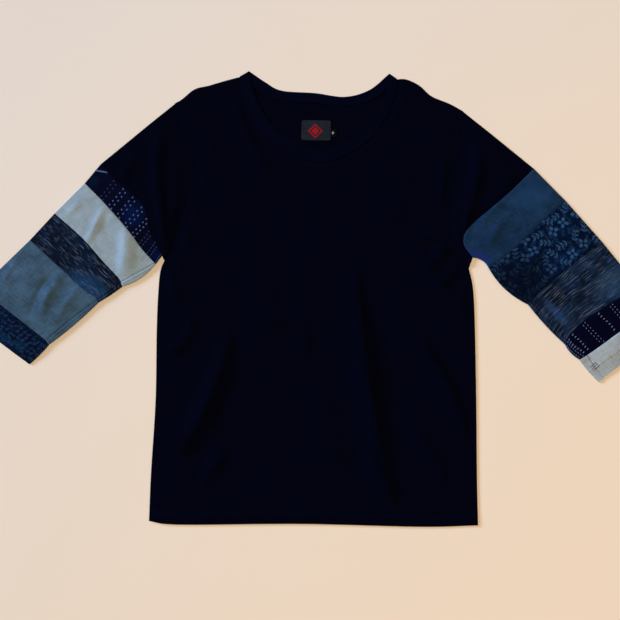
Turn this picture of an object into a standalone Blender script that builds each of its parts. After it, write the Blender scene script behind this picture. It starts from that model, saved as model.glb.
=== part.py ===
"""A patchwork-sleeve t-shirt lying flat on its back, front up.

A plain jersey body of two panels with a ribbed neckband and a woven label inside the back neck, and two
seven-tenths sleeves. Each sleeve starts with a jersey cap and goes on in five strips of other cloths,
sewn edge to edge into a flattened tube. Every cloth is a sheet of one thickness. The front layer lies on
the back one with a little air between them, and carries the soft folds of a shirt that was spread by hand.

Sizes are in millimetres until the meshes are made. Across runs from the middle of the shirt to the
wearer's left, up runs from the hem to the neck, and height is above the floor.
"""

from collections import namedtuple

import bmesh
import bpy
import numpy as np

MM = 0.001
GARMENT = "patchwork_sleeve_tshirt"
MIDDLE_UP = 340.0  # half way between the hem and the shoulder tips, where the origin lies

# Cloth
CLOTH = 1.0  # thickness of every sheet
AIR = 0.3  # between two cloths that lie on each other
SEAM_GAP = 0.5  # between two cloths that are sewn edge to edge
ARMHOLE_GAP = 0.7  # between the body's panels and the sleeves' first seams
ARMPIT_GAP = 2.0  # at the armpit, where the sleeve's fold comes in sharply beside the side seam
ARMPIT_FROM = 0.85  # the share of the way down the armhole where that wider gap begins
SAG_FROM = 0.7  # the share of the way across a strip where its underarm fold begins to sag
PANEL_LIFT = 1.1  # how far the front panel rises off the back one inside its edges
EDGE_REACH = 22.0  # the width over which it rises
NECK_STEEPNESS = 4.0  # the same at the neck, as a factor on the oval's own measure
SLEEVE_HEIGHT = 3.4  # of a sleeve's two layers, at its folds
SLEEVE_CROWN = 1.6  # how much higher the sleeve's upper layer is between its folds
CROWN_REACH = 30.0  # the width over which it rises from each fold
SEAM_CROWN = 0.4  # the share of that height that is left at a seam

Spot = namedtuple("Spot", "across up")
Section = namedtuple("Section", "up left right")
Strip = namedtuple("Strip", "name near far sag color")
Fold = namedtuple("Fold", "start end bow before after rise")

# The body's two edges, from hem to shoulder tip: side seams up to the armpit, then the armholes
BODY = (
    Section(0, -236, 238),
    Section(70, -235, 240),
    Section(178, -231, 242),
    Section(281, -232, 243),
    Section(340, -231, 241),
    Section(373, -228, 235),
    Section(392, -219, 231),
    Section(412, -208, 214),
    Section(430, -204, 208),
    Section(460, -196, 206),
    Section(508, -184, 214),
    Section(545, -184, 221),
    Section(588, -203, 229),
    Section(636, -214, 235),
)
HEM = (Spot(-236, 5), Spot(-192, 0), Spot(-18, 1), Spot(155, -3), Spot(238, -1))
LEFT_ARMPIT_UP = 385
RIGHT_ARMPIT_UP = 373
LEFT_SHOULDER = (Spot(-213, 632), Spot(-202, 639), Spot(-183, 655), Spot(-161, 663), Spot(-135, 672),
                 Spot(-116, 678))
RIGHT_SHOULDER = (Spot(131, 673), Spot(144, 672), Spot(164, 663), Spot(182, 647), Spot(213, 631),
                  Spot(233, 619))

ARMHOLES = {"left": (LEFT_ARMPIT_UP, LEFT_SHOULDER[0]), "right": (RIGHT_ARMPIT_UP, RIGHT_SHOULDER[-1])}

# Neck: the front scoop is half of a rounded oval hung from the shoulder tips, the back one is shallow
NECK_TIPS = (Spot(-102, 683), Spot(119, 680))  # of the neckband's free edge
NECK_DEPTH = 125
BAND_TIPS = (LEFT_SHOULDER[-1], RIGHT_SHOULDER[0])  # of the seam that joins the band to the panels
BAND_DEPTH = 135
NECK_ROUNDNESS = 1.78  # power of the oval: 2 would be an ellipse
BACK_NECK = (NECK_TIPS[0], Spot(-76, 671), Spot(-46, 654), Spot(4, 649), Spot(50, 644), Spot(88, 655),
             NECK_TIPS[1])
BACK_BAND = (BAND_TIPS[0], Spot(-83, 657), Spot(-50, 639), Spot(2, 633), Spot(51, 628), Spot(95, 641),
             BAND_TIPS[1])
BAND_LIFT = 1.0  # how far the band's free edge stands off the seam's height

# Woven label and its size tab, inside the back neck
LABEL_SIZE = (45.0, 32.0)
LABEL_AT = Spot(6.0, 590.0)
LABEL_TURN = -1.0  # degrees
TAB_SIZE = (8.0, 13.0)
TAB_DROP = 3.5  # of the tab's middle below the label's
LABEL_THICK = 0.9
LABEL_EDGE = 0.25  # rounding of the label's and the tab's edges

# Seams across each sleeve, from the fold at the top of the arm to the fold under it
LEFT_SEAMS = {
    "cap": (Spot(-324, 535), Spot(-303, 513), Spot(-262, 477), Spot(-249, 452), Spot(-244, 428),
            Spot(-233, 409), Spot(-227, 393)),
    "dotted": (Spot(-350, 507), Spot(-315, 472), Spot(-278, 431), Spot(-258, 404), Spot(-236, 380)),
    "pale": (Spot(-394, 460), Spot(-349, 421), Spot(-313, 382), Spot(-291, 359), Spot(-285, 346)),
    "streaked": (Spot(-429, 420), Spot(-391, 385), Spot(-343, 342), Spot(-326, 330), Spot(-320, 320)),
    "denim": (Spot(-501, 345), Spot(-454, 310), Spot(-420, 284), Spot(-399, 268), Spot(-391, 259)),
    "cuff": (Spot(-534, 314), Spot(-465, 263), Spot(-419, 230)),
}
RIGHT_SEAMS = {
    "cap": (Spot(338, 528), Spot(303, 494), Spot(273, 468), Spot(248, 447), Spot(232, 431),
            Spot(227, 418), Spot(229, 406), Spot(241, 390)),
    "denim": (Spot(385, 477), Spot(356, 454), Spot(327, 425), Spot(290, 393), Spot(264, 376)),
    "floral": (Spot(437, 414), Spot(392, 380), Spot(374, 366), Spot(349, 346), Spot(322, 319)),
    "streaked": (Spot(487, 347), Spot(430, 312), Spot(403, 294), Spot(381, 273), Spot(375, 259)),
    "stitched": (Spot(510, 315), Spot(457, 279), Spot(430, 260), Spot(408, 245), Spot(395, 237)),
    "cuff": (Spot(534, 282), Spot(455, 229), Spot(422, 204)),
}

NAVY = (0.003, 0.005, 0.021)
DENIM = (0.045, 0.095, 0.165)
STREAKED = (0.012, 0.03, 0.07)
# Each sleeve's strips from shoulder to cuff, and how far each one's underarm fold sags out
LEFT_STRIPS = (
    Strip("left_sleeve_cap", "armhole", "cap", 0, NAVY),
    Strip("left_dotted_strip", "cap", "dotted", 0, (0.004, 0.007, 0.03)),
    Strip("left_pale_strip", "dotted", "pale", 5, (0.27, 0.38, 0.45)),
    Strip("left_streak_strip", "pale", "streaked", 0, STREAKED),
    Strip("left_denim_strip", "streaked", "denim", 2, (0.07, 0.12, 0.18)),
    Strip("left_print_cuff", "denim", "cuff", 1, (0.004, 0.012, 0.035)),
)
RIGHT_STRIPS = (
    Strip("right_sleeve_cap", "armhole", "cap", 0, NAVY),
    Strip("right_denim_strip", "cap", "denim", -4, DENIM),
    Strip("right_floral_strip", "denim", "floral", 7, (0.004, 0.013, 0.045)),
    Strip("right_streak_strip", "floral", "streaked", 2, STREAKED),
    Strip("right_stitched_strip", "streaked", "stitched", 0, (0.003, 0.006, 0.022)),
    Strip("right_pale_cuff", "stitched", "cuff", 1, (0.36, 0.41, 0.42)),
)

# Folds of the body's front: where each crest runs, how far its middle bows to its right as seen from
# its start, how wide its slopes before and after the crest are, and how high it stands (a trough is
# below 0). After is the side to the right of the crest.
BODY_FOLDS = (
    Fold(Spot(64, 378), Spot(116, 20), 6, 10, 24, 5.0),
    Fold(Spot(86, 372), Spot(150, 70), 0, 11, 10, -0.8),
    Fold(Spot(62, 124), Spot(123, 28), 0, 12, 9, 2.6),
    Fold(Spot(156, 404), Spot(210, 322), 0, 10, 13, 2.4),
    Fold(Spot(124, 304), Spot(224, 122), -15, 12, 16, 3.2),
    Fold(Spot(142, 144), Spot(196, 58), 0, 10, 13, 2.6),
    Fold(Spot(-228, 244), Spot(-180, 316), 20, 12, 12, 2.4),
    Fold(Spot(-194, 96), Spot(-124, 266), 7, 15, 11, 3.0),
    Fold(Spot(-166, 52), Spot(-120, 118), 0, 10, 12, 2.2),
    Fold(Spot(-124, 302), Spot(-210, 88), -20, 13, 18, 2.8),
    Fold(Spot(-10, 292), Spot(-12, 232), 0, 10, 10, 1.4),
    Fold(Spot(-122, 640), Spot(-54, 505), 8, 9, 13, 2.2),
    Fold(Spot(196, 462), Spot(206, 552), 0, 10, 12, 2.2),
    Fold(Spot(-212, 436), Spot(-158, 386), 0, 10, 12, 2.6),
    Fold(Spot(214, 424), Spot(168, 372), 0, 12, 10, 2.4),
)
SLEEVE_FOLDS = (
    Fold(Spot(-232, 590), Spot(-222, 440), 10, 12, 14, 2.6),
    Fold(Spot(-292, 520), Spot(-258, 440), 0, 10, 12, 1.6),
    Fold(Spot(-330, 478), Spot(-258, 386), -6, 12, 14, 2.4),
    Fold(Spot(-372, 446), Spot(-306, 366), 0, 12, 10, 1.8),
    Fold(Spot(-452, 376), Spot(-352, 312), 8, 14, 14, 2.2),
    Fold(Spot(-478, 318), Spot(-412, 268), 0, 12, 12, 1.4),
    Fold(Spot(250, 592), Spot(232, 452), -8, 14, 12, 2.6),
    Fold(Spot(318, 520), Spot(246, 424), 6, 14, 14, 2.4),
    Fold(Spot(366, 470), Spot(286, 386), 0, 12, 12, 1.8),
    Fold(Spot(420, 412), Spot(336, 332), 0, 13, 12, 1.8),
    Fold(Spot(470, 336), Spot(394, 276), 6, 12, 12, 1.6),
)

FOLD_TAPER = 0.6  # power of the sine that brings a fold down to nothing at its two ends
WELD = 0.02  # points closer than this, where two grids meet, are one point

# How finely the panels are divided
PANEL_COLUMNS = (11, 18, 11)  # left of the neck, under it and right of it
SIDE_ROWS = 15  # up the side seams
ARMHOLE_ROWS = 14  # round each armhole, the same on the panels and on the sleeve
SHOULDER_ROWS = 3  # of those, above the yoke line
YOKE_UP = 590  # where the yoke line meets the neck
BACK_COLUMNS = (5, 10, 5)
BACK_SIDE_ROWS = 6
BAND_STATIONS = (26, 18)  # along the front and the back of the neckband
BAND_ROWS = 3  # across the neckband
FINE_STATIONS = 241  # on a curve that is cut or measured before it is divided
STRIP_STEP = 13.0  # along a sleeve


def clear_scene():
    for item in list(bpy.data.objects):
        bpy.data.objects.remove(item, do_unlink=True)


def finish(name, color, roughness=0.9):
    """A plain cloth finish."""
    material = bpy.data.materials.new(name)
    material.use_nodes = True
    shader = material.node_tree.nodes["Principled BSDF"]
    shader.inputs["Base Color"].default_value = (*color, 1.0)
    shader.inputs["Roughness"].default_value = roughness
    return material


def resample(line, stations, moved=None):
    """Points of a line, or of the same line moved aside, at fractions of the line's own length."""
    steps = np.linalg.norm(np.diff(line, axis=0), axis=1)
    length = np.concatenate([[0.0], np.cumsum(steps)])
    at = np.asarray(stations) * length[-1]
    points = line if moved is None else moved
    return np.column_stack([np.interp(at, length, points[:, k]) for k in range(points.shape[1])])


def smooth_line(spots, per_span=12):
    """A Catmull-Rom curve through the spots."""
    p = np.array(spots, float)
    p = np.vstack([2 * p[0] - p[1], p, 2 * p[-1] - p[-2]])
    t = np.linspace(0, 1, per_span, endpoint=False)[:, None]
    spans = [
        0.5 * (2 * b + (c - a) * t + (2 * a - 5 * b + 4 * c - d) * t**2 + (3 * b - a - 3 * c + d) * t**3)
        for a, b, c, d in zip(p, p[1:], p[2:], p[3:])
    ]
    return np.vstack(spans + [p[-2:-1]])


def through(spots, count):
    """Evenly spaced points on the smooth curve through the spots."""
    return resample(smooth_line(spots), np.linspace(0, 1, count))


def body_edge(side, low, high, count):
    """One edge of the body between two heights above the hem."""
    line = smooth_line([(row.up, getattr(row, side)) for row in BODY])
    up = np.linspace(low, high, count)
    return np.column_stack([np.interp(up, line[:, 0], line[:, 1]), up])


def armhole(side):
    """The body's edge from the armpit up to the shoulder tip, in equal steps."""
    low, tip = ARMHOLES[side]
    line = resample(body_edge(side, low, tip.up, FINE_STATIONS), np.linspace(0, 1, ARMHOLE_ROWS + 1))
    line[-1] = tip
    return line


def panel_edge(side, side_rows):
    """The body's edge from the hem to the shoulder tip: the side seam and then the armhole."""
    corner = HEM[0] if side == "left" else HEM[-1]
    low = ARMHOLES[side][0]
    line = np.vstack([body_edge(side, corner.up, low, side_rows + 1)[:-1], armhole(side)])
    line[0] = corner
    return line


def scoop(tips, depth, angles):
    """Half of an oval hung from two tips: angle 0 is the left tip and pi the right one."""
    left, right = (np.array(tip, float) for tip in tips)
    power = 2 / NECK_ROUNDNESS
    turn = np.cos(angles)
    swing = 0.5 * (1 - np.sign(turn) * np.abs(turn) ** power)
    line = left + (right - left) * swing[:, None]
    line[:, 1] -= depth * np.abs(np.sin(angles)) ** power
    return line


def four_sided(bottom, top, left, right):
    """The patch between four edges: each pair blended, less the blend of the corners."""
    u = np.linspace(0, 1, len(bottom))[None, :, None]
    v = np.linspace(0, 1, len(left))[:, None, None]
    ruled = (1 - v) * bottom[None] + v * top[None] + (1 - u) * left[:, None] + u * right[:, None]
    corners = (1 - v) * ((1 - u) * bottom[0] + u * bottom[-1]) + v * ((1 - u) * top[0] + u * top[-1])
    return ruled - corners


def ease(value):
    """0 below 0, 1 above 1 and a smooth step between."""
    value = np.clip(value, 0, 1)
    return value * value * (3 - 2 * value)


def folds_at(across, up, folds):
    """The height that the folds add: a crest along each, with rounded slopes and tapered ends."""
    height = np.zeros_like(across)
    for fold in folds:
        run = np.subtract(fold.end, fold.start).astype(float)
        length = np.hypot(*run)
        run /= length
        x, y = across - fold.start.across, up - fold.start.up
        along = np.clip((x * run[0] + y * run[1]) / length, 0, 1)
        aside = x * run[1] - y * run[0] - 4 * fold.bow * along * (1 - along)
        width = np.where(aside > 0, fold.after, fold.before)
        height += fold.rise * np.sin(np.pi * along) ** FOLD_TAPER * np.exp(-((aside / width) ** 2))
    return height


def inside_edges(across, up):
    """0 on the body's outline and 1 a little inside it."""
    rows = smooth_line([(row.up, row.left, row.right) for row in BODY])
    left = np.interp(up, rows[:, 0], rows[:, 1])
    right = np.interp(up, rows[:, 0], rows[:, 2])
    middle = 0.5 * (BAND_TIPS[0].across + BAND_TIPS[1].across)
    reach = BAND_TIPS[1].across - middle
    tips_up = 0.5 * (BAND_TIPS[0].up + BAND_TIPS[1].up)
    oval = np.abs((across - middle) / reach) ** NECK_ROUNDNESS
    oval += np.maximum((tips_up - up) / BAND_DEPTH, 0) ** NECK_ROUNDNESS
    shoulders = smooth_line(LEFT_SHOULDER + RIGHT_SHOULDER)
    top = np.interp(across, shoulders[:, 0], shoulders[:, 1])
    sides = ease((across - left) / EDGE_REACH) * ease((right - across) / EDGE_REACH)
    ends = ease((up - HEM[-1].up) / EDGE_REACH) * ease((top - up) / EDGE_REACH)
    return sides * ends * ease((oval - 1) * NECK_STEEPNESS)


def place(points):
    """Across, up and height in millimetres to metres about the shirt's origin."""
    return (np.asarray(points, float) - (0, MIDDLE_UP, 0)) * MM


def sheet_object(name, grids, color, inwards, closed=False):
    """Joins grids of points edge to edge into one open surface and gives it the cloth's thickness.

    The thickness goes to the side that the surface faces, or to the other one with inwards. With closed,
    each row of a grid ends where it starts.
    """
    shape = bmesh.new()
    for grid in grids:
        rows = [[shape.verts.new(point) for point in row] for row in place(grid)]
        for low, high in zip(rows, rows[1:]):
            if closed:
                low, high = low + low[:1], high + high[:1]
            for a, b, c, d in zip(low, low[1:], high[1:], high):
                shape.faces.new((a, b, c, d))
    bmesh.ops.remove_doubles(shape, verts=shape.verts, dist=WELD * MM)
    mesh = bpy.data.meshes.new(name)
    shape.to_mesh(mesh)
    shape.free()
    cloth = add_object(name, mesh, color)
    thickness = cloth.modifiers.new("cloth", "SOLIDIFY")
    thickness.thickness = CLOTH * MM
    thickness.offset = -1.0 if inwards else 1.0
    return cloth


def add_object(name, mesh, color):
    piece = bpy.data.objects.new(name, mesh)
    mesh.materials.append(finish(name, color))
    bpy.data.collections[GARMENT].objects.link(piece)
    return piece


def at_height(plan, height):
    """A grid of points in plan, lifted to their heights."""
    return np.dstack([plan, np.broadcast_to(height, plan.shape[:2])])


def split_scoop(low_up):
    """The front panel's neck edge as its left side, its bottom and its right side, cut at a height."""
    line = offset(scoop(BAND_TIPS, BAND_DEPTH, np.linspace(0, np.pi, FINE_STATIONS)), -SEAM_GAP)
    under = np.flatnonzero(line[:, 1] < low_up)
    first, last = under[0] - 1, under[-1] + 1
    return line[: first + 1], line[first : last + 1], line[last:]


def offset(line, distance):
    """A line moved to its left by a distance."""
    along = np.gradient(line, axis=0)
    along /= np.linalg.norm(along, axis=1)[:, None]
    return line + distance * np.column_stack([-along[:, 1], along[:, 0]])


def front_panel():
    """The front: a block up to the yoke line, which takes in the scoop's bottom, and two shoulders."""
    left_side, bottom, right_side = split_scoop(YOKE_UP)
    left_whole, right_whole = (panel_edge(side, SIDE_ROWS) for side in ("left", "right"))
    left_edge, right_edge = left_whole[:-SHOULDER_ROWS], right_whole[:-SHOULDER_ROWS]
    lefts, unders, rights = (np.linspace(0, 1, count + 1) for count in PANEL_COLUMNS)
    left_yoke = resample(np.array([left_edge[-1], bottom[0]]), lefts)
    right_yoke = resample(np.array([bottom[-1], right_edge[-1]]), rights)
    yoke = np.vstack([left_yoke, resample(bottom, unders)[1:-1], right_yoke])
    body = four_sided(through(HEM, len(yoke)), yoke, left_edge, right_edge)
    rows = np.linspace(0, 1, SHOULDER_ROWS + 1)
    left = four_sided(
        left_yoke,
        resample(smooth_line(LEFT_SHOULDER), lefts),
        left_whole[-SHOULDER_ROWS - 1 :],
        resample(left_side[::-1], rows),
    )
    right = four_sided(
        right_yoke,
        resample(smooth_line(RIGHT_SHOULDER), rights),
        resample(right_side, rows),
        right_whole[-SHOULDER_ROWS - 1 :],
    )
    grids = []
    for plan in (body, left, right):
        across, up = plan[..., 0], plan[..., 1]
        lift = PANEL_LIFT + folds_at(across, up, BODY_FOLDS)
        grids.append(at_height(plan, CLOTH + AIR + lift * inside_edges(across, up)))
    return sheet_object("front_panel", grids, NAVY, inwards=False)


def back_panel():
    """The back, flat on the floor, with its shallow neckline between the shoulders."""
    shoulder_left, under, shoulder_right = (np.linspace(0, 1, count + 1) for count in BACK_COLUMNS)
    seam = offset(smooth_line(BACK_BAND), -SEAM_GAP)
    top = np.vstack([
        resample(smooth_line(LEFT_SHOULDER), shoulder_left)[:-1],
        resample(seam, under),
        resample(smooth_line(RIGHT_SHOULDER), shoulder_right)[1:],
    ])
    plan = four_sided(
        through(HEM, len(top)),
        top,
        panel_edge("left", BACK_SIDE_ROWS),
        panel_edge("right", BACK_SIDE_ROWS),
    )
    return sheet_object("back_panel", [at_height(plan, 0)], NAVY, inwards=False)


def neckband():
    """The ribbed band: a ring of cloth round the neck that turns over at the two shoulder tips."""
    front_count, back_count = BAND_STATIONS
    angles = np.linspace(0, np.pi, front_count)
    stations = np.linspace(0, 1, back_count)[::-1]
    back_free = resample(smooth_line(BACK_NECK), stations)[1:-1]
    back_seam = resample(smooth_line(BACK_BAND), stations)[1:-1]
    free = np.vstack([scoop(NECK_TIPS, NECK_DEPTH, angles), back_free])
    seam = np.vstack([scoop(BAND_TIPS, BAND_DEPTH, angles), back_seam])
    over = np.zeros(len(free))
    over[1 : front_count - 1] = 1.0
    over[front_count:] = -1.0
    height = 0.5 * SLEEVE_HEIGHT * (1 + over)
    rows = []
    for share in np.linspace(0, 1, BAND_ROWS):
        line = free + (seam - free) * share
        lift = BAND_LIFT * (1 - share) * np.maximum(over, 0)
        rows.append(np.column_stack([line, height + lift]))
    return sheet_object("neckband", [np.array(rows)], NAVY, inwards=True, closed=True)


def strip_rings(strip, seams, outward):
    """The upper layer of a strip in plan, row by row from its near seam to its far one.

    Yields the share of the way, the points from the fold over the arm to the fold under it, and how far
    each point is from the nearer fold.
    """
    near, far = seams[strip.near], seams[strip.far]
    if strip.near == "armhole":
        towards_armpit = ease((np.linspace(0, 1, len(near)) - ARMPIT_FROM) / (1 - ARMPIT_FROM))[:, None]
        inner = offset(near, outward * (ARMHOLE_GAP + (ARMPIT_GAP - ARMHOLE_GAP) * towards_armpit))
    else:
        inner = offset(near, outward * SEAM_GAP / 2)
    outer = offset(far, 0 if strip.far == "cuff" else -outward * SEAM_GAP / 2)
    under = outer[-1] - inner[-1]
    away = outward * np.array([under[1], -under[0]]) / np.linalg.norm(under)
    reach = np.linalg.norm(near.mean(axis=0) - far.mean(axis=0))
    for v in np.linspace(0, 1, max(3, round(reach / STRIP_STEP) + 1)):
        length = (1 - v) * line_length(near) + v * line_length(far)
        fold = 0.5 * SLEEVE_HEIGHT / length
        between = np.arange(1, ARMHOLE_ROWS) / ARMHOLE_ROWS
        stations = np.concatenate([[0.0, fold], between, [1 - fold, 1.0]])
        plan = (1 - v) * resample(near, stations, inner) + v * resample(far, stations, outer)
        sag = strip.sag * 4 * v * (1 - v) * ease((stations - SAG_FROM) / (1 - SAG_FROM))
        yield v, plan + away * sag[:, None], np.minimum(stations, 1 - stations) * length


def sleeve_strip(strip, seams, outward):
    """One strip of a sleeve: a flattened tube between two seams, open at both ends.

    Outward is -1 on the sleeve that runs to the left and 1 on the other.
    """
    radius = 0.5 * SLEEVE_HEIGHT
    rings = []
    for v, plan, distance in strip_rings(strip, seams, outward):
        middle = np.sin(np.pi * v)
        folds = folds_at(plan[:, 0], plan[:, 1], SLEEVE_FOLDS) * ease(distance / EDGE_REACH) * middle
        crown = SLEEVE_CROWN * (SEAM_CROWN + (1 - SEAM_CROWN) * middle) * ease(distance / CROWN_REACH)
        upper = np.column_stack([plan, radius + half_round(distance, radius) + crown + folds])
        lower = np.column_stack([plan[1:-1], np.zeros(len(plan) - 2)])[::-1]
        rings.append(np.vstack([upper, lower]))
    rings = np.array(rings)
    if outward < 0:
        rings = rings[:, ::-1]
    return sheet_object(strip.name, [rings], strip.color, inwards=True, closed=True)


def half_round(distance, radius):
    """The height of a round fold's upper half at a distance from its tip."""
    return radius * np.sqrt(np.clip(1 - (1 - np.minimum(distance / radius, 1)) ** 2, 0, 1))


def line_length(line):
    return np.linalg.norm(np.diff(line, axis=0), axis=1).sum()


def label_piece(name, size, at, color):
    """A flat woven label on the back panel."""
    shape = bmesh.new()
    bmesh.ops.create_cube(shape, size=1.0)
    bmesh.ops.scale(shape, vec=(size[0] * MM, size[1] * MM, LABEL_THICK * MM), verts=shape.verts)
    mesh = bpy.data.meshes.new(name)
    shape.to_mesh(mesh)
    shape.free()
    piece = add_object(name, mesh, color)
    piece.location = place((at.across, at.up, CLOTH + AIR + LABEL_THICK / 2))
    piece.rotation_euler.z = np.radians(LABEL_TURN)
    rounding = piece.modifiers.new("edges", "BEVEL")
    rounding.width = LABEL_EDGE * MM
    rounding.segments = 1
    return piece


def labels():
    label_piece("neck_label", LABEL_SIZE, LABEL_AT, (0.012, 0.012, 0.014))
    tab_across = LABEL_AT.across + 0.5 * (LABEL_SIZE[0] + TAB_SIZE[0]) + SEAM_GAP
    label_piece("size_tab", TAB_SIZE, Spot(tab_across, LABEL_AT.up - TAB_DROP), (0.004, 0.004, 0.005))


def sleeves():
    """Both sleeves, strip by strip from the shoulder to the cuff."""
    for side, table, strips, outward in (
        ("left", LEFT_SEAMS, LEFT_STRIPS, -1),
        ("right", RIGHT_SEAMS, RIGHT_STRIPS, 1),
    ):
        seams = {name: smooth_line(spots) for name, spots in table.items()}
        seams["armhole"] = armhole(side)[::-1]
        for strip in strips:
            sleeve_strip(strip, seams, outward)


def main():
    clear_scene()
    garment = bpy.data.collections.new(GARMENT)
    bpy.context.scene.collection.children.link(garment)
    back_panel()
    front_panel()
    neckband()
    labels()
    sleeves()


main()
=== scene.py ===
"""The looks of a patchwork-sleeve t-shirt that lies flat on its back, front up.

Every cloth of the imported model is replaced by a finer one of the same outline, with the folds, seams, hems
and puckers that a sewn cloth has, and with its weave, print or stitching. Lengths are in millimetres of the
shirt's pattern until a mesh is made: across from the middle of the shirt towards the wearer's left, up from
the hem to the neck, and height above the floor.
"""

import logging
import math
from dataclasses import dataclass, field
from enum import Enum
from typing import Any, NamedTuple

import bmesh
import bpy
import numpy as np
from mathutils import Matrix


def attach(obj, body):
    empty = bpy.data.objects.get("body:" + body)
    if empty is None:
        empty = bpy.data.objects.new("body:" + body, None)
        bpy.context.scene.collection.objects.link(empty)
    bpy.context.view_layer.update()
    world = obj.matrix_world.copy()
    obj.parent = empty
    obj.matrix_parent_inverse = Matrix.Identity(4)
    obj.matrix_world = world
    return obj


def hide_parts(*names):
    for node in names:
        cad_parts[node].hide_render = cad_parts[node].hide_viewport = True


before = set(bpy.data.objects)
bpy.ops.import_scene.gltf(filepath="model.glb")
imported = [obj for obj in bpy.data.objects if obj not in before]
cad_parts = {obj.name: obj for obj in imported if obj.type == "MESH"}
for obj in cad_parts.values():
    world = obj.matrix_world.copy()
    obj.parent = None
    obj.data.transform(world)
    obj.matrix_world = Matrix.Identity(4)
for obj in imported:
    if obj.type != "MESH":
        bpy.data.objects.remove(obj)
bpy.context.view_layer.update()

log = logging.getLogger("tshirt")

Points = np.ndarray
Color = tuple[int, int, int]  # red, green and blue from 0 to 255, as a screen shows them
Pair = tuple[float, float]
Triple = tuple[float, float, float]
Size = Triple  # a stitch's length, width and height
Item = bpy.types.Object
Socket = bpy.types.NodeSocket

MM = 0.001
MIDDLE_UP = 340.0  # half way between the hem and the shoulder tips, where the origin lies
BODY = "root"
SCREEN_POWER = 0.45  # the power that turns a share of light into one of a screen's tone
FOLD_TAPER = 0.6  # power of the sine that brings a fold down to nothing at its two ends


class Spot(NamedTuple):
    """A point of the pattern."""

    across: float
    up: float


class Section(NamedTuple):
    """Where the body's two edges lie at one height above the hem."""

    up: float
    left: float
    right: float


class Fold(NamedTuple):
    """A crest: its two ends, how far its middle bows to the right, its slopes' widths and its rise."""

    start: Spot
    end: Spot
    bow: float
    before: float
    after: float
    rise: float


class Side(Enum):
    """The side of the photograph that a sleeve lies on."""

    LEFT = "left"
    RIGHT = "right"

    @property
    def outward(self) -> int:
        """The sign of across on this side."""
        return -1 if self is Side.LEFT else 1


# Lines and fields of the pattern


def curve(spots: Any, per_span: int = 12) -> Points:
    """A Catmull-Rom curve: each span is the cubic whose slopes at its ends are half the chords beside it.

    Args:
        spots: the points that it passes through.
        per_span: how many points each span gets.

    Returns:
        The curve's points, one a row.
    """
    p = np.array(spots, float)
    p = np.vstack([2 * p[0] - p[1], p, 2 * p[-1] - p[-2]])
    t = np.linspace(0, 1, per_span, endpoint=False)[:, None]
    spans = [
        0.5 * (2 * b + (c - a) * t + (2 * a - 5 * b + 4 * c - d) * t**2 + (3 * b - a - 3 * c + d) * t**3)
        for a, b, c, d in zip(p, p[1:], p[2:], p[3:])
    ]
    return np.vstack(spans + [p[-2:-1]])


def length_of(line: Points) -> float:
    """The length of a line."""
    return float(np.linalg.norm(np.diff(line, axis=0), axis=1).sum())


def resample(line: Points, shares: Any, moved: Points | None = None) -> Points:
    """Points at shares of a line's own length.

    Args:
        line: the line that is measured.
        shares: where the points lie, from 0 to 1.
        moved: the same line moved aside, which the points are taken from when it is given.

    Returns:
        The points, one a row.
    """
    steps = np.linalg.norm(np.diff(line, axis=0), axis=1)
    length = np.concatenate([[0.0], np.cumsum(steps)])
    at = np.asarray(shares) * length[-1]
    points = line if moved is None else moved
    return np.column_stack([np.interp(at, length, points[:, k]) for k in range(points.shape[1])])


def offset(line: Points, distance: Any) -> Points:
    """Moves a line to its left, square to its own direction at each point.

    Args:
        line: the line.
        distance: how far, for all of it or for each point.

    Returns:
        The moved line.
    """
    along = np.gradient(line, axis=0)
    along /= np.linalg.norm(along, axis=1)[:, None]
    return line + np.reshape(distance, (-1, 1)) * np.column_stack([-along[:, 1], along[:, 0]])


def ease(value: Any) -> Any:
    """0 below 0, 1 above 1, and 3t^2 - 2t^3 between."""
    value = np.clip(value, 0, 1)
    return value * value * (3 - 2 * value)


def bell(value: Any, width: float) -> Any:
    """The bell curve exp(-(value / width)^2)."""
    return np.exp(-((value / width) ** 2))


def half_round(distance: Any, radius: float) -> Any:
    """The height of a round fold's upper half at a distance from its tip: a quarter circle, then level."""
    return radius * np.sqrt(np.clip(1 - (1 - np.minimum(distance / radius, 1)) ** 2, 0, 1))


def oval(angles: Points, power: float) -> tuple[Points, Points]:
    """A superellipse one unit in radius: a cosine and a sine to the power 2 / power, with their signs.

    Args:
        angles: the angles of its points.
        power: how square it is, from 2 for a circle.

    Returns:
        The points' two coordinates.
    """
    parts = (np.round(wave(angles), 9) for wave in (np.cos, np.sin))
    x, y = (np.sign(part) * np.abs(part) ** (2 / power) for part in parts)
    return x, y


def graded(length: float, step: float, fine: float, reach: float) -> Points:
    """Shares of a length that lie close together near both ends.

    Args:
        length: the whole length.
        step: the distance between points in the middle.
        fine: the distance between points near the ends.
        reach: how far from each end the fine steps go.

    Returns:
        Shares from 0 to 1.
    """
    ends = np.linspace(0, reach, max(2, round(reach / fine) + 1)) / length
    middle = np.linspace(ends[-1], 1 - ends[-1], max(2, round((length - 2 * reach) / step) + 1))
    return np.concatenate([ends[:-1], middle, 1 - ends[-2::-1]])


def denser(near: float, near_steps: int, far_steps: int) -> Points:
    """Shares from 0 to 1 that lie closer together up to the share near than beyond it."""
    return np.concatenate([np.linspace(0, near, near_steps)[:-1], np.linspace(near, 1, far_steps)])


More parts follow.
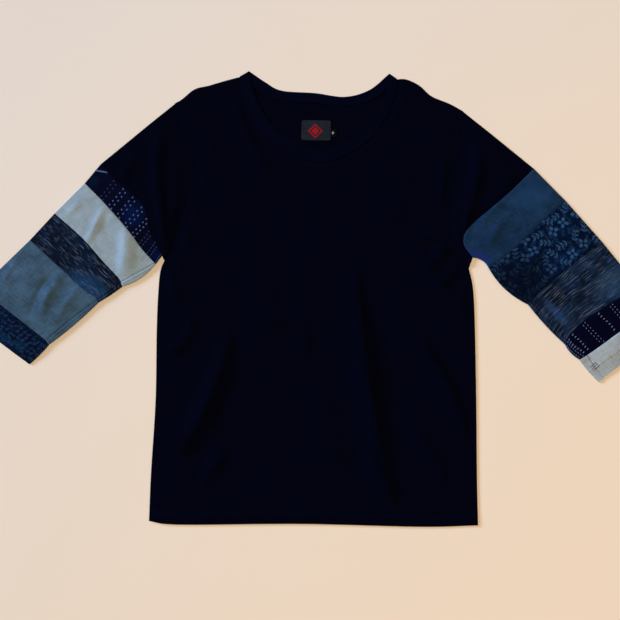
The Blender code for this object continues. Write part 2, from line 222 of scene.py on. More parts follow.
def coons(bottom: Points, top: Points, left: Points, right: Points, u: Points, v: Points) -> Points:
    """The patch between four edges: each pair of edges blended, less the blend of the four corners.

    Args:
        bottom, top: the edges along u.
        left, right: the edges along v.
        u, v: the shares at the edges' points.

    Returns:
        A grid of points, with a row for each v.
    """
    a, b = u[None, :, None], v[:, None, None]
    ruled = (1 - b) * bottom[None] + b * top[None] + (1 - a) * left[:, None] + a * right[:, None]
    corners = (1 - b) * ((1 - a) * bottom[0] + a * bottom[-1]) + b * ((1 - a) * top[0] + a * top[-1])
    return ruled - corners


def folds_at(across: Points, up: Points, folds: tuple[Fold, ...]) -> Points:
    """The height that folds add: a bell across each crest, times a power of a sine along it.

    Args:
        across, up: where the height is asked for.
        folds: the folds.

    Returns:
        The height at each place.
    """
    height = np.zeros_like(across)
    for fold in folds:
        run = np.subtract(fold.end, fold.start).astype(float)
        length = np.hypot(*run)
        run /= length
        x, y = across - fold.start.across, up - fold.start.up
        along = np.clip((x * run[0] + y * run[1]) / length, 0, 1)
        aside = x * run[1] - y * run[0] - 4 * fold.bow * along * (1 - along)
        width = np.where(aside > 0, fold.after, fold.before)
        height += fold.rise * np.sin(np.pi * along) ** FOLD_TAPER * bell(aside, width)
    return height


def distance_to(line: Points, across: Points, up: Points) -> Points:
    """The distance of each place from the nearest point of a finely divided line.

    Args:
        line: the line.
        across, up: the places.

    Returns:
        The distances, in the places' own layout.
    """
    divisions, batch = 480, 4000
    fine = resample(line, np.linspace(0, 1, divisions))
    flat = np.column_stack([across.ravel(), up.ravel()])
    nearest = [
        np.hypot(part[:, None, 0] - fine[None, :, 0], part[:, None, 1] - fine[None, :, 1]).min(axis=1)
        for part in np.array_split(flat, max(1, len(flat) // batch))
    ]
    return np.concatenate(nearest).reshape(across.shape)


class Ridge(NamedTuple):
    """A ridge along a seam, or a groove: its height, its distance from the seam and its width."""

    rise: float
    at: float
    width: float

    def over(self, distance: Points) -> Points:
        """Its height at distances from the seam, as a bell curve."""
        return self.rise * bell(distance - self.at, self.width)


class Puckers(NamedTuple):
    """Small waves along a sewn line: height and pitch, and how far and how slowly that pitch sways."""

    height: float
    pitch: float
    sway: float
    sway_reach: float

    def along(self, place: Points) -> Points:
        """Their height at places along the line: the sine of the place plus a slower sine of it."""
        sway = self.sway * np.sin(place / self.sway_reach)
        return self.height * np.sin(place * 2 * np.pi / self.pitch + sway)


class Waves(NamedTuple):
    """The unevenness of a loose cloth: a sum of plane waves of seeded length, direction and phase."""

    seed: int
    shortest: float
    longest: float
    height: float
    count: int = 18

    def over(self, across: Points, up: Points) -> Points:
        """Adds the waves up.

        Args:
            across, up: where the height is asked for.

        Returns:
            The height at each place.
        """
        draw = np.random.default_rng(self.seed)
        turn = draw.uniform(0, np.pi, self.count)
        length = np.exp(draw.uniform(np.log(self.shortest), np.log(self.longest), self.count))
        phase = draw.uniform(0, 2 * np.pi, self.count)
        total = np.zeros_like(across)
        for angle, wave, shift in zip(turn, length, phase):
            total += np.sin(2 * np.pi * (across * np.cos(angle) + up * np.sin(angle)) / wave + shift)
        return self.height * total / math.sqrt(self.count)


@dataclass(frozen=True)
class BodyPattern:
    """The outline of the shirt's body and neck, which the panels, the neckband and the sleeves share."""

    sections: tuple[Section, ...] = (
        Section(0, -236, 238), Section(70, -235, 238.5),
        Section(178, -231, 240.5), Section(281, -232, 241.5),
        Section(340, -231, 240.5), Section(373, -228, 235),
        Section(392, -219, 231), Section(412, -208, 214),
        Section(430, -204, 208), Section(460, -196, 206),
        Section(508, -184, 214), Section(545, -184, 221),
        Section(588, -203, 229), Section(636, -214, 235),
    )
    hem: tuple[Spot, ...] = (Spot(-236, 5), Spot(-192, 0), Spot(-18, 1), Spot(155, -3), Spot(238, -1))
    left_armpit_up: float = 385
    right_armpit_up: float = 373
    left_shoulder: tuple[Spot, ...] = (
        Spot(-213, 632), Spot(-202, 639),
        Spot(-183, 655), Spot(-161, 661),
        Spot(-135, 669), Spot(-113, 675),
    )
    right_shoulder: tuple[Spot, ...] = (
        Spot(131, 671), Spot(146, 671),
        Spot(166, 661), Spot(184, 644),
        Spot(213, 631), Spot(233, 619),
    )
    neck_tips: tuple[Spot, Spot] = (Spot(-98, 684), Spot(119, 680))
    neck_depth: float = 125
    band_depth: float = 135
    roundness: float = 1.78  # power of the neck's oval: 2 would be an ellipse
    back_neck: tuple[Spot, ...] = (
        Spot(-74, 667), Spot(-48, 653),
        Spot(4, 649), Spot(50, 643),
        Spot(88, 654),
    )
    back_band: tuple[Spot, ...] = (
        Spot(-81, 653), Spot(-52, 638),
        Spot(2, 633), Spot(51, 627),
        Spot(95, 640),
    )
    fine: int = 241  # points on a line that is measured before it is divided

    @property
    def band_tips(self) -> tuple[Spot, Spot]:
        """The ends of the seam that joins the neckband to the front panel."""
        return self.left_shoulder[-1], self.right_shoulder[0]

    @property
    def back_seam(self) -> Points:
        """The seam that joins the neckband to the back panel, from the left shoulder to the right one."""
        return curve((self.band_tips[0],) + self.back_band + (self.band_tips[1],))

    def armpit_up(self, side: Side) -> float:
        """How high the armpit of one side lies."""
        return self.left_armpit_up if side is Side.LEFT else self.right_armpit_up

    def edge(self, side: Side, up: Points) -> Points:
        """Points of one edge of the body at the given heights."""
        line = curve([(row.up, getattr(row, side.value)) for row in self.sections])
        return np.column_stack([np.interp(up, line[:, 0], line[:, 1]), up])

    def armhole(self, side: Side, shares: Points) -> Points:
        """Divides one armhole.

        Args:
            side: which one.
            shares: the shares of its length.

        Returns:
            Its points, from the armpit to the shoulder tip.
        """
        tip = self.left_shoulder[0] if side is Side.LEFT else self.right_shoulder[-1]
        line = resample(self.edge(side, np.linspace(self.armpit_up(side), tip.up, self.fine)), shares)
        line[-1] = tip
        return line

    def panel_edge(self, side: Side, seam_shares: Points, armhole_shares: Points) -> Points:
        """Divides the whole edge of a panel.

        Args:
            side: which edge.
            seam_shares: the shares of the side seam, from the hem to the armpit.
            armhole_shares: the shares of the armhole.

        Returns:
            Its points, from the hem to the shoulder tip.
        """
        corner = self.hem[0] if side is Side.LEFT else self.hem[-1]
        up = corner.up + (self.armpit_up(side) - corner.up) * seam_shares
        line = np.vstack([self.edge(side, up)[:-1], self.armhole(side, armhole_shares)])
        line[0] = corner
        return line

    def scoop(self, tips: tuple[Spot, Spot], depth: float, angles: Points) -> Points:
        """Half of a superellipse hung from two tips.

        Args:
            tips: the left one and the right one.
            depth: how far it hangs down.
            angles: 0 at the left tip and pi at the right one.

        Returns:
            Its points.
        """
        left, right = (np.array(tip, float) for tip in tips)
        power = 2 / self.roundness
        turn = np.cos(angles)
        swing = 0.5 * (1 - np.sign(turn) * np.abs(turn) ** power)
        line = left + (right - left) * swing[:, None]
        line[:, 1] -= depth * np.abs(np.sin(angles)) ** power
        return line

    def band_seam(self) -> Points:
        """The seam between the front panel and the neckband, from the left shoulder to the right one."""
        return self.scoop(self.band_tips, self.band_depth, np.linspace(0, np.pi, self.fine))

    def inside(self, across: Points, up: Points, reach: float) -> Points:
        """How far inside the body's outline places lie: a product of eased distances from its edges.

        Args:
            across, up: the places.
            reach: the distance from an edge beyond which it no longer counts.

        Returns:
            0 on the outline and 1 further in than reach.
        """
        rows = curve([(row.up, row.left, row.right) for row in self.sections])
        left = np.interp(up, rows[:, 0], rows[:, 1])
        right = np.interp(up, rows[:, 0], rows[:, 2])
        shoulders = curve(self.left_shoulder + self.right_shoulder)
        top = np.interp(across, shoulders[:, 0], shoulders[:, 1])
        sides = ease((across - left) / reach) * ease((right - across) / reach)
        return sides * ease((up - self.hem[-1].up) / reach) * ease((top - up) / reach)


# Shader maths


class Reading:
    """One number of a material that varies over a cloth. Sums and functions of readings add their nodes."""

    def __init__(self, graph: "Graph", socket: Socket) -> None:
        """Wraps the socket that the number comes from."""
        self.graph = graph
        self.socket = socket

    def _math(self, operation: str, *values: Any) -> "Reading":
        """A Math node of the operation on the values, in their order."""
        node = self.graph.add("ShaderNodeMath", {"operation": operation}, dict(enumerate(values)))
        return Reading(self.graph, node.outputs[0])

    def __add__(self, other: Any) -> "Reading":
        """Self plus other."""
        return self._math("ADD", self, other)

    __radd__ = __add__

    def __sub__(self, other: Any) -> "Reading":
        """Self less other."""
        return self._math("SUBTRACT", self, other)

    def __rsub__(self, other: Any) -> "Reading":
        """Other less self."""
        return self._math("SUBTRACT", other, self)

    def __mul__(self, other: Any) -> "Reading":
        """Self times other."""
        return self._math("MULTIPLY", self, other)

    __rmul__ = __mul__

    def __truediv__(self, other: Any) -> "Reading":
        """Self over other."""
        return self._math("DIVIDE", self, other)

    def __pow__(self, other: Any) -> "Reading":
        """Self to a power."""
        return self._math("POWER", self, other)

    def __abs__(self) -> "Reading":
        """Self without its sign."""
        return self._math("ABSOLUTE", self)

    def sin(self) -> "Reading":
        """The sine of self."""
        return self._math("SINE", self)

    def cos(self) -> "Reading":
        """The cosine of self."""
        return self._math("COSINE", self)

    def repeat(self, period: float) -> "Reading":
        """The distance from the nearest whole number of periods, with its sign."""
        return self._math("WRAP", self, 0.5 * period, -0.5 * period)

    def lesser(self, other: Any) -> "Reading":
        """The smaller of self and other."""
        return self._math("MINIMUM", self, other)

    def greater(self, other: Any) -> "Reading":
        """The larger of self and other."""
        return self._math("MAXIMUM", self, other)

    def rising(self, low: float, high: float) -> "Reading":
        """A smooth step, which falls when low is above high.

        Args:
            low: where it is 0.
            high: where it is 1.

        Returns:
            The step's value.
        """
        node = self.graph.add(
            "ShaderNodeMapRange",
            {"interpolation_type": "SMOOTHSTEP"},
            {"Value": self, "From Min": low, "From Max": high},
        )
        return Reading(self.graph, node.outputs["Result"])


class Graph:
    """The nodes of one material."""

    def __init__(self, name: str) -> None:
        """Makes a material with its shader.

        Args:
            name: the material's name.
        """
        self.material = bpy.data.materials.new(name)
        self.material.use_nodes = True
        self.tree = self.material.node_tree
        self.shader = self.tree.nodes["Principled BSDF"]

    def add(self, kind: str, settings: dict[str, Any], inputs: dict[Any, Any]) -> bpy.types.Node:
        """Adds a node.

        Args:
            kind: the node's type.
            settings: its own properties, set first.
            inputs: the value or the link of each socket, by name or place.

        Returns:
            The node.
        """
        node = self.tree.nodes.new(kind)
        for key, value in settings.items():
            setattr(node, key, value)
        self.feed(node, inputs)
        return node

    def feed(self, node: bpy.types.Node, inputs: dict[Any, Any]) -> None:
        """Sets or links a node's sockets.

        Args:
            node: the node.
            inputs: the value or the link of each socket, by name or place.
        """
        for key, value in inputs.items():
            source = value.socket if isinstance(value, Reading) else value
            if isinstance(source, Socket):
                self.tree.links.new(source, node.inputs[key])
            else:
                node.inputs[key].default_value = source

    def flat_place(self) -> tuple[Reading, Reading]:
        """Where a point lies on the flat cloth.

        Returns:
            The millimetres along its two threads.
        """
        uv = self.add("ShaderNodeUVMap", {"uv_map": "cloth"}, {})
        parts = self.add("ShaderNodeSeparateXYZ", {}, {0: uv.outputs[0]})
        return Reading(self, parts.outputs[0]) * 1000, Reading(self, parts.outputs[1]) * 1000

    def pair(self, x: Any, y: Any) -> Socket:
        """Two readings as one vector."""
        return self.add("ShaderNodeCombineXYZ", {}, {0: x, 1: y}).outputs[0]

    def noise(self, x: Any, y: Any, detail: float = 2.0) -> Reading:
        """Soft noise whose grains are about one unit of x and y wide.

        Args:
            x, y: the place. Adding a number to one only takes another part of the same noise.
            detail: how many finer layers it has.

        Returns:
            The noise, from 0 to 1.
        """
        node = self.add(
            "ShaderNodeTexNoise",
            {"noise_dimensions": "2D"},
            {"Vector": self.pair(x, y), "Scale": 1.0, "Detail": detail},
        )
        return Reading(self, node.outputs[0])

    def cells(self, x: Any, y: Any, randomness: float) -> tuple[Reading, Reading, Reading, Reading]:
        """Scattered cells one unit apart.

        Args:
            x, y: the place.
            randomness: how far the cells stray from a square grid.

        Returns:
            The place within the nearest cell, from its middle, and two random numbers of that cell.
        """
        place = self.pair(x, y)
        cell = self.add(
            "ShaderNodeTexVoronoi",
            {"voronoi_dimensions": "2D"},
            {"Vector": place, "Scale": 1.0, "Randomness": randomness},
        )
        local = self.add(
            "ShaderNodeVectorMath", {"operation": "SUBTRACT"}, {0: place, 1: cell.outputs["Position"]}
        )
        parts = self.add("ShaderNodeSeparateXYZ", {}, {0: local.outputs[0]})
        draws = self.add("ShaderNodeSeparateXYZ", {}, {0: cell.outputs["Color"]})
        return tuple(Reading(self, node.outputs[k]) for node in (parts, draws) for k in (0, 1))

    def mix(self, share: Any, first: Any, second: Any) -> Socket:
        """Mixes two colours.

        Args:
            share: 0 for the first and 1 for the second.
            first, second: the colours, as sockets or as a screen shows them.

        Returns:
            The colour between them.
        """
        first, second = (dye(*c) if isinstance(c, tuple) else c for c in (first, second))
        node = self.add(
            "ShaderNodeMix", {"data_type": "RGBA", "clamp_factor": True}, {0: share, 6: first, 7: second}
        )
        return node.outputs[2]

    def bump(self, height: Reading, depth: float) -> None:
        """Feeds the shader's normal with a relief: height from 0 to 1, depth in millimetres."""
        node = self.add("ShaderNodeBump", {}, {"Strength": 1.0, "Distance": depth * MM, "Height": height})
        self.feed(self.shader, {"Normal": node.outputs[0]})


def dye(red: float, green: float, blue: float) -> tuple[float, float, float, float]:
    """A screen colour as the linear one that a socket takes: the inverse of the screen's own curve."""
    parts = [c / 255 for c in (red, green, blue)]
    return *(p / 12.92 if p <= 0.04045 else ((p + 0.055) / 1.055) ** 2.4 for p in parts), 1.0


# Finishes


class Patch(NamedTuple):
    """A patch of another tone (uneven dye on some cloths, painted light and shade on others): middle, reach
    along both threads, tone.
    """

    u: float
    v: float
    reach_u: float
    reach_v: float
    tone: Color
    strength: float
    soft: float = 0.8  # the share of its reach over which it fades
    waver: float = 0.3  # how far its edge strays, as a share of its reach
    waver_size: float = 9.0

    def share(self, graph: Graph, u: Reading, v: Reading) -> Reading:
        """How strongly it shows: one less the distance from its middle in reaches, stepped and with noise.

        Args:
            graph: the material's nodes.
            u, v: the place on the flat cloth.

        Returns:
            From 0 to its strength.
        """
        x, y = (u - self.u) / self.reach_u, (v - self.v) / self.reach_v
        stray = (graph.noise(u / self.waver_size, v / self.waver_size) - 0.5) * self.waver
        return (1 - (x * x + y * y) ** 0.5 + stray).rising(0.0, self.soft) * self.strength


def plain_weave(u: Reading, v: Reading, pitch: float) -> Reading:
    """The relief of a plain weave from 0 to 1: half of one plus the product of two sines."""
    turn = 2 * math.pi / pitch
    return (u * turn).sin() * (v * turn).sin() * 0.5 + 0.5


@dataclass(frozen=True)
class Finish:
    """A cloth's finish: what all of them share. Sizes are in millimetres of the flat cloth.

    The methods color, dyed, printed, streaks and relief take the material's nodes and the place on the flat
    cloth, and return a colour's socket or a reading from 0 to 1.
    """

    name: str
    tone: Color
    gloss: float
    roughness: float = 0.9
    depth: float = 0.12  # of the weave's relief
    thread: float = 0.8  # from one thread of the weave to the next
    shades: Pair = (0.9, 1.1)  # the brightness of its darkest and its lightest patches
    broad: float = 38.0  # the size of its broad patches
    small: float = 6.0  # and of its small ones
    # patches of uneven dye, and on some cloths painted light and shade
    patches: tuple[Patch, ...] = ()

    def material(self) -> bpy.types.Material:
        """Builds the material: plain sockets first, then the cloth's colour with its patches of dye and of
        painted light and shade, then relief.

        Returns:
            The material.
        """
        graph = Graph(self.name)
        graph.feed(graph.shader, {"Roughness": self.roughness, "Specular IOR Level": self.gloss})
        u, v = graph.flat_place()
        graph.feed(graph.shader, {"Base Color": self.dye_and_painted_light(graph, u, v)})
        graph.bump(self.relief(graph, u, v), self.depth)
        return graph.material

    def dye_and_painted_light(self, graph: Graph, u: Reading, v: Reading) -> Socket:
        """The cloth's colour with its patches over it, of uneven dye and, on some cloths, of painted light
        and shade.

        Args:
            graph: the material's nodes.
            u, v: the place on the flat cloth.

        Returns:
            The colour's socket.
        """
        color = self.color(graph, u, v)
        for patch in self.patches:
            color = graph.mix(patch.share(graph, u, v), color, patch.tone)
        return color

    def color(self, graph: Graph, u: Reading, v: Reading) -> Socket:
        """The cloth's own colour: its tone between its two shades, by noise of broad and of small patches.

        Args:
            graph: the material's nodes.
            u, v: the place on the flat cloth.

        Returns:
            The colour's socket.
        """
        broad = graph.noise(u / self.broad, v / self.broad) * 0.6
        patches = broad + graph.noise(u / self.small + 9, v / self.small, 3) * 0.4
        darker, lighter = (
            tuple(min(255, c * shade ** SCREEN_POWER) for c in self.tone) for shade in self.shades
        )
        return graph.mix(patches.rising(0.3, 0.7), darker, lighter)

    def relief(self, graph: Graph, u: Reading, v: Reading) -> Reading:
        """A plain weave."""
        return plain_weave(u, v, self.thread)


@dataclass(frozen=True)
class JerseyFinish(Finish):
    """Plain knitted cotton: fine columns of stitches up the cloth."""

    wale: float = 1.2

    def relief(self, graph: Graph, u: Reading, v: Reading) -> Reading:
        """Rounded columns, small loops across them and soft noise: a folded sine, a sine and the noise."""
        loops = ((v * (2 * math.pi / self.wale)).sin() * 0.5 + 0.5) * 0.15
        return abs((u * (math.pi / self.wale)).sin()) * 0.6 + loops + graph.noise(u / 3, v / 3) * 0.25


@dataclass(frozen=True)
class RibFinish(JerseyFinish):
    """Ribbed jersey: wider columns that run across the band."""

    wale: float = 1.9


@dataclass(frozen=True, kw_only=True)
class WovenFinish(Finish):
    """Dyed plain-woven cotton, uneven thread by thread and faded in patches."""

    pale: Color
    slub: float  # how strongly the single threads show
    fade: float  # how strongly the patches show
    thread: float = 0.9
    slub_size: Pair = (1.3, 14.0)  # the width and length of the uneven threads
    fade_size: float = 26.0

    def color(self, graph: Graph, u: Reading, v: Reading) -> Socket:
        """Between the tone and the paler one, by noise along the warp, along the weft and in patches.

        Args:
            graph: the material's nodes.
            u, v: the place on the flat cloth.

        Returns:
            The colour's socket.
        """
        wide, long = self.slub_size
        warp = graph.noise(u / wide, v / long, 1)
        weft = graph.noise(u / long + 5, v / wide, 1)
        patches = graph.noise(u / self.fade_size + 3, v / self.fade_size, 3)
        share = (warp + weft - 1) * self.slub + (patches - 0.5) * (2 * self.fade) + 0.5
        return graph.mix(share.rising(0.1, 0.9), self.tone, self.pale)

    def relief(self, graph: Graph, u: Reading, v: Reading) -> Reading:
        """Half a plain weave and half the noise of uneven threads."""
        threads = graph.noise(u / 0.8, v / 12) * 0.5 + graph.noise(u / 12, v / 0.8) * 0.5
        return plain_weave(u, v, self.thread) * 0.5 + threads * 0.5


@dataclass(frozen=True, kw_only=True)
class StreakedFinish(Finish):
    """Indigo cotton with short pale streaks in rows along one thread, over bluer patches."""

    streak: Color
    patch: Color
    length: float  # about that of one streak
    fill: float  # the height of the noise above which a streak shows
    strength: float  # how strongly the streaks show
    spread: float = 0.5  # how strongly the bluer patches do
    thread: float = 0.9
    pitch: float = 3.2  # from one row of streaks to the next
    sway: float = 4.0  # how far the rows wander
    between: Triple = (0.4, 0.62, 0.6)  # the fainter rows' place, pitch and strength
    dimmest: float = 0.25  # the brightness of the streaks where they are faint

    def row(self, graph: Graph, u: Reading, v: Reading, pitch: float, shift: float) -> Reading:
        """Broken lines, one every pitch, each of which shows where its own noise along u stands high.

        Args:
            graph: the material's nodes.
            u, v: the place on the flat cloth.
            pitch: from line to line.
            shift: takes other noise for another set of lines.

        Returns:
            1 on the lines.
        """
        aside = v.repeat(pitch)
        line = abs(aside).rising(0.36 * pitch, 0.04 * pitch)
        shown = graph.noise(u / self.length + shift, (v - aside) * (7.3 / pitch) + shift, 1)
        return line * shown.rising(self.fill, self.fill + 0.2)

    def streaks(self, graph: Graph, u: Reading, v: Reading) -> Reading:
        """Rows of pale streaks that sway a little, with fainter ones between them.

        Args:
            graph: the material's nodes.
            u, v: the place on the flat cloth.

        Returns:
            1 on the brightest streaks.
        """
        place, pitch, strength = self.between
        v = v + (graph.noise(u / 30 + 3, v / 18, 1) - 0.5) * self.sway
        strong = self.row(graph, u, v, self.pitch, 0.0)
        faint = self.row(graph, u, v + place * self.pitch, pitch * self.pitch, 9.5) * strength
        bright = graph.noise(u / 16 + 8, v / 11, 1).rising(0.28, 0.72)
        return strong.greater(faint) * (bright * (1 - self.dimmest) + self.dimmest)

    def color(self, graph: Graph, u: Reading, v: Reading) -> Socket:
        """The ground alone: the tone, bluer in patches and along the grain.

        Args:
            graph: the material's nodes.
            u, v: the place on the flat cloth.

        Returns:
            The colour's socket.
        """
        patches = graph.noise(u / 34 + 1, v / 22 + 4, 1).rising(0.35, 0.85)
        ground = graph.mix(patches * self.spread, self.tone, self.patch)
        grain = graph.noise(u / 8, v / 1.1, 1).rising(0.4, 0.8)
        return graph.mix(grain * 0.4, ground, self.patch)

    def dye_and_painted_light(self, graph: Graph, u: Reading, v: Reading) -> Socket:
        """The ground and its patches, with the streaks over both."""
        share = self.streaks(graph, u, v) * self.strength
        return graph.mix(share, super().dye_and_painted_light(graph, u, v), self.streak)

    def relief(self, graph: Graph, u: Reading, v: Reading) -> Reading:
        """The streaks stand a little proud of a plain weave."""
        return self.streaks(graph, u, v) * 0.6 + plain_weave(u, v, self.thread) * 0.4


@dataclass(frozen=True, kw_only=True)
class SprigFinish(Finish):
    """Printed cotton: blossoms of four petals and leafy sprigs, scattered and turned every way.

    The sizes of the motifs are shares of a cell.
    """

    ink: Color
    cell: float  # from motif to motif
    worn: float  # how far the print is worn off in places
    shades: Pair = (0.6, 1.7)
    blossoms: float = 0.3  # the share of the motifs that are blossoms
    leaves: float = 0.26  # the distance from leaf to leaf
    fine: float = 0.0  # the strength of a second layer of smaller sprigs
    fine_cell: float = 0.55  # their size, as a share of the first layer's
    petal: Triple = (0.25, 0.17, 0.13)  # distance from the middle, half length, half width
    leaf_at: Pair = (0.03, 0.13)  # along the stem and aside
    leaf: Pair = (0.15, 0.06)  # half its length and half its width
    lean: Pair = (0.68, 0.73)  # the cosine and sine of its angle from the stem
    stem: Pair = (0.045, 0.015)  # half its width, outside and inside its soft edge
    reach: Pair = (0.46, 0.4)  # how far a sprig goes from the middle, likewise

    def printed(self, graph: Graph, u: Reading, v: Reading) -> Reading:
        """The motifs, over fainter and smaller sprigs.

        Args:
            graph: the material's nodes.
            u, v: the place on the flat cloth.

        Returns:
            1 on ink.
        """
        large = self.motifs(graph, u / self.cell, v / self.cell, self.blossoms)
        if not self.fine:
            return large
        cell = self.fine_cell * self.cell
        return large.greater(self.motifs(graph, u / cell + 31.7, v / cell + 12.2, 0.1) * self.fine)

    def motifs(self, graph: Graph, u: Reading, v: Reading, blossoms: float) -> Reading:
        """One layer of the print.

        A blossom is four ellipses round the cell's middle, folded into one: the larger of the two coordinates
        runs along the petal. A sprig is a thin stem with leaning ellipses at equal steps on both sides.

        Args:
            graph: the material's nodes.
            u, v: the place, in cells.
            blossoms: the share of the motifs that are blossoms.

        Returns:
            1 on ink.
        """
        x, y, turn, kind = graph.cells(u, v, 0.5)
        angle = turn * (2 * math.pi * 3)
        c, s = angle.cos(), angle.sin()
        along, aside = x * c + y * s, abs(y * c - x * s)
        major, minor = abs(along).greater(aside), abs(along).lesser(aside)
        far, half_length, half_width = self.petal
        blossom = (1 - ((major - far) / half_length) ** 2 - (minor / half_width) ** 2).rising(-0.2, 0.5)
        onward = along.repeat(self.leaves) - self.leaf_at[0]
        sideways = aside - self.leaf_at[1]
        lean_along = onward * self.lean[0] + sideways * self.lean[1]
        lean_aside = sideways * self.lean[0] - onward * self.lean[1]
        leaf = (1 - (lean_along / self.leaf[0]) ** 2 - (lean_aside / self.leaf[1]) ** 2).rising(-0.2, 0.5)
        sprig = leaf.greater(aside.rising(*self.stem) * 0.7) * abs(along).rising(*self.reach)
        is_blossom = kind.rising(blossoms + 0.01, blossoms)
        return blossom * is_blossom + sprig * (1 - is_blossom)

    def color(self, graph: Graph, u: Reading, v: Reading) -> Socket:
        """The motifs over the uneven ground, worn thin in places."""
        wear = 1 - graph.noise(u / 5, v / 5, 3).rising(0.4, 0.8) * self.worn
        return graph.mix(self.printed(graph, u, v) * wear, super().color(graph, u, v), self.ink)


@dataclass(frozen=True, kw_only=True)
class LabelFinish(Finish):
    """Fine twill-woven label with a plain diamond woven in."""

    middle: Spot
    mark: Color = (150, 18, 26)
    thread: float = 1.1
    shades: Pair = (0.8, 1.4)
    reach: Pair = (11.5, 11.5)  # of the diamond from its middle to its corners
    hollow: Pair = (0.55, 0.8)  # shares of that between which the ground shows
    edge: float = 0.03  # the softness of its outlines, likewise

    def color(self, graph: Graph, u: Reading, v: Reading) -> Socket:
        """The tone, and the other colour on a plain diamond with a hollow rim, threads showing through.

        Args:
            graph: the material's nodes.
            u, v: the place on the flat cloth.

        Returns:
            The colour's socket.
        """
        ground = super().color(graph, u, v)
        threads = graph.noise(u / 0.5, v / 2.5, 1).rising(0.2, 0.45)
        share = abs(u - self.middle.across) / self.reach[0] + abs(v - self.middle.up) / self.reach[1]
        inner, outer = self.hollow
        rim = share.rising(inner - self.edge, inner) * share.rising(outer, outer - self.edge)
        return graph.mix(share.rising(1.02, 0.98) * (1 - rim) * threads, ground, self.mark)

    def relief(self, graph: Graph, u: Reading, v: Reading) -> Reading:
        """Diagonal twill: a sine of the sum of both places."""
        return ((u + v) * (2 * math.pi / self.thread)).sin() * 0.5 + 0.5


@dataclass(frozen=True)
class ThreadFinish(Finish):
    """Sewing or embroidery thread."""

    thread: float = 1.2

    def relief(self, graph: Graph, u: Reading, v: Reading) -> Reading:
        """The twist of the plies: a sine along the thread, leaning with its width."""
        return ((u * 2 + v) * (2 * math.pi / self.thread)).sin() * 0.5 + 0.5


JERSEY = JerseyFinish("navy_jersey", (2, 3, 14), gloss=0.01, depth=0.16)
RIB = RibFinish("navy_rib", (2, 4, 18), gloss=0.012, depth=0.3)
DOTTED = Finish(
    "dotted_navy", (4, 6, 26),
    gloss=0.02,
    patches=(
        Patch(8, 22, 14, 12, (4, 28, 50), 0.3),
        Patch(92, 14, 26, 20, (1, 24, 66), 0.55),
        Patch(166, 16, 18, 18, (2, 16, 60), 0.6),
    ),
)
PALE = WovenFinish(
    "pale_chambray", (124, 138, 142), pale=(143, 159, 166), slub=0.45, fade=0.35, gloss=0.1, depth=0.18
)
LEFT_STREAKED = StreakedFinish(
    "left_streaked", (5, 9, 20),
    streak=(76, 90, 112), patch=(12, 30, 56),
    gloss=0.03, length=14.0,
    fill=0.46, strength=0.72,
    # the second patch is painted shadow: near-black along the fold under the arm, where the cloth turns under
    patches=(Patch(122, 46, 58, 34, (26, 62, 98), 0.6), Patch(156, 20, 17, 70, (4, 7, 14), 0.95)),
)
DENIM_GREY = WovenFinish(
    "washed_denim", (46, 65, 80), pale=(65, 91, 111), slub=0.6, fade=0.45, gloss=0.06, depth=0.2
)
LEAF_PRINT = SprigFinish(
    "leaf_print", (3, 14, 36),
    ink=(33, 58, 88), cell=7.5,
    blossoms=0.1, worn=0.9,
    gloss=0.03,
    patches=(
        Patch(80, 38, 28, 11, (6, 46, 76), 0.4),
        Patch(108, 30, 19, 11, (8, 46, 72), 0.4),
        Patch(104, 51, 74, 11, (1, 4, 14), 0.85),
        Patch(90, 1, 80, 8, (2, 9, 28), 0.6),
    ),
)
CHAMBRAY = WovenFinish(
    "indigo_chambray", (13, 32, 51),
    pale=(26, 50, 76), slub=0.7,
    fade=0.4, gloss=0.03,
    depth=0.18,
    patches=(
        Patch(34, 30, 44, 40, (26, 58, 90), 0.45),
        Patch(130, 40, 34, 40, (12, 32, 56), 0.4),
        Patch(172, 30, 26, 60, (24, 42, 104), 0.6),
    ),
)
FLORAL = SprigFinish(
    "floral_print", (2, 15, 39),
    ink=(40, 69, 97), cell=20.5,
    leaves=0.3, worn=0.5,
    fine=0.45, gloss=0.03,
    patches=(Patch(140, 50, 80, 80, (2, 6, 20), 0.85),),
)
RIGHT_STREAKED = StreakedFinish(
    "right_streaked", (5, 12, 24),
    streak=(72, 82, 98), patch=(15, 40, 70),
    gloss=0.03, length=24.0,
    pitch=3.5, fill=0.42,
    spread=0.6, strength=0.82,
    patches=(
        Patch(20, 56, 60, 30, (40, 70, 98), 0.45),
        Patch(110, 16, 40, 28, (5, 10, 20), 0.7),
        Patch(124, 40, 9, 40, (30, 62, 100), 0.4),
    ),
)
STITCHED = Finish(
    # painted sheen: the patch makes the cloth bluer at the fold under the arm
    "stitched_navy", (3, 4, 22), gloss=0.02, patches=(Patch(142, 16, 16, 40, (4, 20, 46), 0.5),)
)
PALE_GREY = WovenFinish(
    "pale_grey_cloth", (132, 139, 138),
    pale=(157, 165, 163), slub=0.7,
    fade=0.3, gloss=0.1,
    depth=0.18,
    # painted warm light: a brownish patch near the underarm end of the seam to the stitched strip
    patches=(Patch(130, 5, 12, 9, (126, 116, 106), 0.5),),
)
NAVY_THREAD = ThreadFinish("navy_thread", (8, 10, 28), gloss=0.05)
BRIGHT_DOT = ThreadFinish("pale_dots", (80, 88, 126), gloss=0.1)
DIM_DOT = ThreadFinish("dim_dots", (38, 44, 72), gloss=0.1)
RUNNING_THREAD = ThreadFinish("running_thread", (92, 96, 118), gloss=0.1)
DASH_THREAD = ThreadFinish("dash_thread", (76, 90, 122), gloss=0.1)
GREY_THREAD = ThreadFinish("grey_thread", (52, 60, 68), gloss=0.1)
LABEL_WEAVE = LabelFinish("label_weave", (26, 29, 34), gloss=0.06, middle=Spot(-1.4, -1.0))
TAB_WEAVE = LabelFinish(
    "tab_weave", (6, 6, 9), gloss=0.04, mark=(158, 160, 160), middle=Spot(-0.6, -0.4), reach=(2.0, 2.7)
)


# Cloths


